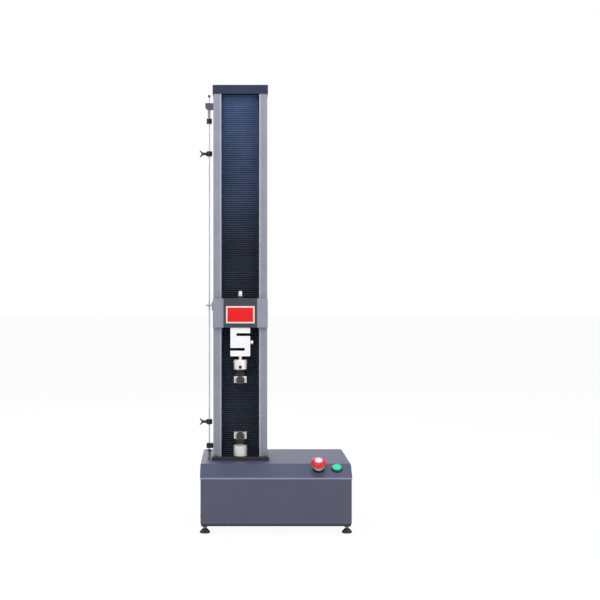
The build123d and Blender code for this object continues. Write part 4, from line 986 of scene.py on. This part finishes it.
@dataclass
class Crosshead:
    """The blank label plate and the small screws of the cover."""

    label_width: float = 0.078
    label_bottom: float = 0.012
    label_top: float = 0.059
    border: float = 0.004
    border_height: float = 0.0012
    border_edge: float = 0.0005
    field_height: float = 0.0016
    field_edge: float = 0.0002
    head: ScrewHead = ScrewHead(0.0028, 0.0012, domed=True)
    screw_inset: float = 0.006

    def build(self) -> None:
        """Make the label plate and the screws."""
        low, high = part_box("crosshead_cover")
        centre = (low.x + high.x) / 2.0
        half = self.label_width / 2.0
        label_low = low.z + self.label_bottom
        label_high = low.z + self.label_top
        border = bar(
            (centre - half, low.y - self.border_height, label_low),
            (centre + half, low.y, label_high),
            edge=self.border_edge,
        )
        riding_piece("label_border", border, LABEL_CREAM, "crosshead")
        inset = self.border
        field = bar(
            (centre - half + inset, low.y - self.field_height, label_low + inset),
            (centre + half - inset, low.y - self.border_height / 2.0, label_high - inset),
            edge=self.field_edge,
        )
        riding_piece("label_field", field, LABEL_RED, "crosshead")
        places = [
            ((x, low.y, z), FRONT)
            for x in (low.x + self.screw_inset, high.x - self.screw_inset)
            for z in (low.z + self.screw_inset, high.z - self.screw_inset)
        ]
        screws("cover_screws", self.head, places, body="crosshead")


@dataclass
class LoadTrain:
    """The load cell's cable gland, the jam nut over the beam and the painted shade at the ends of
    the cross pin.
    """

    gland_drop: float = 0.040
    gland_length: float = 0.008
    gland_bore: float = 0.0046
    gland_edge: float = 0.0004
    nut_radius: float = 0.0068
    nut_length: float = 0.003
    grip_radius: float = 0.0054
    grip_length: float = 0.0045
    jam_radius: float = 0.0112
    jam_bore: float = 0.0061
    jam_height: float = 0.0077
    jam_edge: float = 0.001
    pin_radius: float = 0.0045
    pin_length: float = 0.0004
    pin_height: float = 0.0075
    pin_recess: float = 0.006

    def build(self) -> None:
        """Make the gland, the jam nut and the painted shade at the pin's ends."""
        self.gland()
        self.jam_nut()
        self.pin_hole_shade()

    def gland(self) -> None:
        """Make the gland's hexagon nut and its round cap."""
        low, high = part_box("load_cell")
        root = (high.x - self.gland_length, (low.y + high.y) / 2.0, high.z - self.gland_drop)
        bore, edge = self.gland_bore, self.gland_edge
        nut = ring(bore, self.nut_radius, self.nut_length, edge, steps=6)
        placed(nut, facing(root, RIGHT))
        riding_piece("gland_nut", nut, TURNED_STEEL, "crosshead")
        start = self.nut_length + edge
        cap = ring(bore, self.grip_radius, self.grip_length, edge, steps=16, start=start)
        placed(cap, facing(root, RIGHT))
        riding_piece("gland_cap", cap, BRIGHT_STEEL, "crosshead")

    def jam_nut(self) -> None:
        """Make the black hexagon nut on the beam's stud."""
        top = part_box("crosshead_arm")[1].z
        nut = ring(self.jam_bore, self.jam_radius, self.jam_height, self.jam_edge, steps=6)
        place = (middle("crosshead_arm").x, middle("load_cell").y, top)
        placed(nut, Matrix.Translation(place))
        riding_piece("jam_nut", nut, BLACK_PAINT, "crosshead")

    def pin_hole_shade(self) -> None:
        """Make black discs deep in the adapter where the cross pin's ends sit: painted shade in
        the pin holes.
        """
        low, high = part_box("upper_adapter")
        centre = middle("upper_adapter")
        reach = (high.y - low.y) / 2.0 - self.pin_recess
        radius, length = self.pin_radius, self.pin_length
        ends = []
        for away in (-1.0, 1.0):
            end = turned([(0.0, 0.0), (radius, 0.0), (radius, length), (0.0, length)])
            place = (centre.x, centre.y + away * reach, low.z + self.pin_height)
            ends.append(placed(end, facing(place, (0.0, away, 0.0))))
        riding_piece("pin_hole_shade", joined(ends), BLACK_PAINT, "crosshead")


@dataclass
class Grip:
    """The fluted sleeve of a clamping knob and the ridged faces of a grip's jaws."""

    name: str
    screw_body: str
    jaw_body: str
    fixed_body: str
    flutes: int = 18
    sleeve_radius: float = 0.0113
    sleeve_bore: float = 0.0108
    sleeve_margin: float = 0.0018
    flute_depth: float = 0.0004
    knob_length: float = 0.014
    jaw_gap: float = 0.009
    ridge_pitch: float = 0.0012
    ridge_depth: float = 0.0002
    ridge_margin: float = 0.001
    ridge_root: float = 0.0001

    def build(self) -> None:
        """Make the sleeve and both ridged faces."""
        self.sleeve()
        low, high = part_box(f"{self.name}_jaw")
        self.ridges("moving", low, high, high.y, 1.0, self.jaw_body)
        self.ridges("fixed", low, high, high.y + self.jaw_gap, -1.0, self.fixed_body)

    def sleeve(self) -> None:
        """Make the fluted ring round the knob."""
        low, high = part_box(f"{self.name}_grip_screw")
        bore, outer = self.sleeve_bore, self.sleeve_radius
        start = low.y + self.sleeve_margin
        length = self.knob_length - 2.0 * self.sleeve_margin
        steps = 4 * self.flutes
        side = [(bore, 0.0), (outer, 0.0), (outer, length), (bore, length)]
        sleeve = turned(side, steps=steps, closed=True)
        grooves = [
            v
            for v in sleeve.verts
            if v.co.xy.length > bore + TINY
            and round(atan2(v.co.y, v.co.x) * steps / tau) % 4 == 0
        ]
        share = 1.0 - self.flute_depth / outer
        bmesh.ops.scale(sleeve, vec=(share, share, 1.0), verts=grooves)
        centre = ((low.x + high.x) / 2.0, start, (low.z + high.z) / 2.0)
        placed(sleeve, facing(centre, BACK))
        name = f"{self.name}_knob_sleeve"
        riding_piece(name, sleeve, KNOB_PLASTIC, self.screw_body)

    def ridges(
        self, which: str, low: Vector, high: Vector, face: float, away: float, body: str
    ) -> None:
        """Make the ridges on one jaw face.

        Args:
            which: The face's name.
            low: The jaw's lowest corner.
            high: The jaw's highest corner.
            face: The face's place along Y.
            away: 1 where the ridges point backwards and -1 where they point forwards.
            body: The body that they ride on.
        """
        depth = away * self.ridge_depth
        mesh = folded(low, high, face, self.ridge_pitch, depth, margin=self.ridge_margin)[0]
        rim = [edge for edge in mesh.edges if edge.is_boundary]
        walls = bmesh.ops.extrude_edge_only(mesh, edges=rim)["geom"]
        back = [item for item in walls if isinstance(item, Vert)]
        for vert in back:
            vert.co.y = face - away * self.ridge_root
        bmesh.ops.holes_fill(mesh, edges=[item for item in mesh.edges if item.is_boundary])
        bmesh.ops.recalc_face_normals(mesh, faces=mesh.faces)
        riding_piece(f"{self.name}_{which}_ridges", mesh, DARK_STEEL, body)


@dataclass
class CoilSpring:
    """A coil spring round the limit rod."""

    name: str
    node: str
    fixed_low: bool
    wire: float = 0.0006
    turns: int = 7
    steps_per_turn: int = 20

    def build(self) -> None:
        """Wind the wire where the CAD spring stands, and hide the CAD spring."""
        low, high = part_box(self.node)
        centre = (low + high) / 2.0
        radius = (high.x - low.x) / 2.0 - self.wire
        height = high.z - low.z - 2.0 * self.wire
        mesh = bmesh.new()
        bmesh.ops.create_circle(mesh, cap_ends=False, radius=self.wire, segments=8)
        circle = list(mesh.verts)
        placed(mesh, Matrix.Translation((radius, 0.0, 0.0)) @ Matrix.Rotation(pi / 2.0, 4, "X"))
        steps = self.turns * self.steps_per_turn
        bmesh.ops.spin(
            mesh, geom=circle + list(mesh.edges), cent=(0, 0, 0), axis=UP, angle=tau * self.turns,
            steps=steps, dvec=(0.0, 0.0, height / steps), use_merge=False,
        )
        bmesh.ops.holes_fill(mesh, edges=[edge for edge in mesh.edges if edge.is_boundary])
        bmesh.ops.recalc_face_normals(mesh, faces=mesh.faces)
        placed(mesh, Matrix.Translation((centre.x, centre.y, low.z + self.wire)))
        piece = link_piece(self.name, mesh, DARK_STEEL)
        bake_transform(piece)
        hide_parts(self.node)


@dataclass
class LimitRod:
    """The rod's dark tip and its springs."""

    tip_radius: float = 0.0032
    tip_height: float = 0.007
    tip_bore: float = 0.00255
    tip_edge: float = 0.0008

    def build(self) -> None:
        """Make the tip sleeve and both springs."""
        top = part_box("limit_rod")[1].z
        centre = middle("limit_rod")
        outer, height, edge = self.tip_radius, self.tip_height, self.tip_edge
        end = [(outer, height - edge), (outer - edge, height), (0.0, height)]
        sleeve = turned([(self.tip_bore, 0.0), (outer, 0.0), *end], steps=24)
        foot = top - height + edge
        placed(sleeve, Matrix.Translation((centre.x, centre.y, foot)))
        riding_piece("rod_tip", sleeve, DARK_STEEL, "rod")
        CoilSpring("upper_coil_spring", "upper_rod_spring", fixed_low=False).build()
        CoilSpring("lower_coil_spring", "lower_rod_spring", fixed_low=True).build()


@dataclass(frozen=True)
class Lamp:
    """A soft square lamp: its place, the length of its side in metres and its power in watts."""

    name: str
    place: Triple
    size: float
    power: float
    tint: Triple = WHITE

    def hang(self, aim: Vector) -> None:
        """Hang the lamp.

        Args:
            aim: The point that it faces.
        """
        data = bpy.data.lights.new(self.name, "AREA")
        data.color = self.tint
        data.shape = "SQUARE"
        data.size = self.size
        data.energy = self.power
        lamp = bpy.data.objects.new(self.name, data)
        lamp.location = self.place
        lamp.rotation_euler = (aim - Vector(self.place)).to_track_quat("-Z", "Y").to_euler()
        bpy.context.scene.collection.objects.link(lamp)


@dataclass
class Studio:
    """The floor, the soft light and the camera at the photograph's place."""

    floor_size: float = 60.0
    floor_tone: Triple = (0.9, 0.9, 0.9)
    floor_roughness: float = 0.9
    floor_glow: float = 0.95
    sky_tone: Triple = (0.93, 0.95, 1.0)
    sky_strength: float = 0.55
    camera_place: Triple = (-0.090, -3.685, 0.6465)
    camera_range: float = 100.0
    sensor_width: float = 36.0
    lens: float = 79.4
    shift: Point = (0.0983, -0.0167)
    aim: Triple = (0.0, 0.0, 0.55)
    lamps: tuple[Lamp, ...] = (
        Lamp("key_light", (-1.2, -3.2, 3.0), 2.2, 75.0),
        Lamp("fill_light", (2.6, -2.6, 1.4), 2.4, 28.0),
        Lamp("top_light", (0.2, 0.2, 3.4), 2.0, 56.0, (0.89, 0.86, 1.0)),
        Lamp("back_light", (-1.0, 3.0, 2.2), 2.2, 45.0),
    )

    def floor(self) -> None:
        """Lay a pale floor that glows to the camera and keeps a trace of the shadow."""
        mesh = bmesh.new()
        bmesh.ops.create_grid(mesh, x_segments=1, y_segments=1, size=self.floor_size / 2.0)
        data = bpy.data.meshes.new("floor")
        mesh.to_mesh(data)
        mesh.free()
        floor = bpy.data.objects.new("floor", data)
        bpy.context.scene.collection.objects.link(floor)
        material = bpy.data.materials.new("floor_white")
        material.use_nodes = True
        canvas = Canvas(material.node_tree)
        shader = canvas.tree.nodes["Principled BSDF"]
        matt = {"Roughness": self.floor_roughness, "Specular IOR Level": 0.0}
        canvas.fill(shader, {"Base Color": (*self.floor_tone, 1.0), **matt})
        glow = canvas.add("Emission", {"Strength": 1.0})
        part = {0: self.seen(canvas), 1: self.floor_glow}
        share = canvas.add("Math", part, operation="MULTIPLY").outputs[0]
        self.mix(canvas, share, shader, glow, "Material Output")
        data.materials.append(material)

    @staticmethod
    def seen(canvas: Canvas) -> Socket:
        """Add a value that is 1 for the rays that see the background.

        Args:
            canvas: The nodes of a material or a world.

        Returns:
            1 for camera, glossy and transmission rays, and 0 for the others.
        """
        path = canvas.add("LightPath", {})
        seen = path.outputs["Is Camera Ray"]
        for ray in ("Is Glossy Ray", "Is Transmission Ray"):
            either = {0: seen, 1: path.outputs[ray]}
            seen = canvas.add("Math", either, operation="MAXIMUM").outputs[0]
        return seen

    @staticmethod
    def mix(canvas: Canvas, share: Socket, first: Node, second: Node, output: str) -> None:
        """Mix two shaders and give them to the output.

        Args:
            canvas: The nodes of a material or a world.
            share: The second shader's share.
            first: The first shader.
            second: The second shader.
            output: The output node's name.
        """
        shaders = {0: share, 1: first.outputs[0], 2: second.outputs[0]}
        mixed = canvas.add("MixShader", shaders).outputs[0]
        canvas.fill(canvas.tree.nodes[output], {"Surface": mixed})

    def world(self) -> None:
        """Set a pale world that is white to the camera."""
        world = bpy.data.worlds.new("studio")
        bpy.context.scene.world = world
        world.use_nodes = True
        canvas = Canvas(world.node_tree)
        plain = canvas.tree.nodes["Background"]
        canvas.fill(plain, {"Color": (*self.sky_tone, 1.0), "Strength": self.sky_strength})
        white = canvas.add("Background", {"Color": (*WHITE, 1.0), "Strength": 1.0})
        self.mix(canvas, self.seen(canvas), plain, white, "World Output")

    def camera(self) -> None:
        """Stand the level camera where the photograph was taken from."""
        data = bpy.data.cameras.new("camera")
        data.sensor_width = self.sensor_width
        data.lens = self.lens
        data.shift_x, data.shift_y = self.shift
        data.clip_end = self.camera_range
        camera = bpy.data.objects.new("camera", data)
        camera.location = self.camera_place
        camera.rotation_euler = (pi / 2.0, 0.0, 0.0)
        bpy.context.scene.collection.objects.link(camera)
        bpy.context.scene.camera = camera

    def build(self) -> None:
        """Set up the whole studio."""
        bpy.context.scene.view_settings.view_transform = "Standard"
        self.camera()
        self.floor()
        self.world()
        for lamp in self.lamps:
            lamp.hang(Vector(self.aim))


def main() -> None:
    """Build the studio and every sub-assembly in order."""
    logging.basicConfig(level=logging.INFO, format="%(message)s")
    Studio().build()
    for finish, nodes in NODE_FINISHES.items():
        for node in nodes:
            dress(node, finish)
    LevellingFeet().build()
    Base().build()
    Console().build()
    foot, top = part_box("column_left")
    Bellows("upper_bellows_pleats", "bellows_upper", top.z, beyond=0.039).build()
    Bellows("lower_bellows_pleats", "bellows_lower", foot.z).build()
    Column().build()
    Crosshead().build()
    LoadTrain().build()
    Grip("upper", "upper_clamp_screw", "upper_jaw_slide", "upper_grip").build()
    Grip("lower", "lower_clamp_screw", "lower_jaw_slide", "frame").build()
    LimitRod().build()


if __name__ == "__main__":
    main()
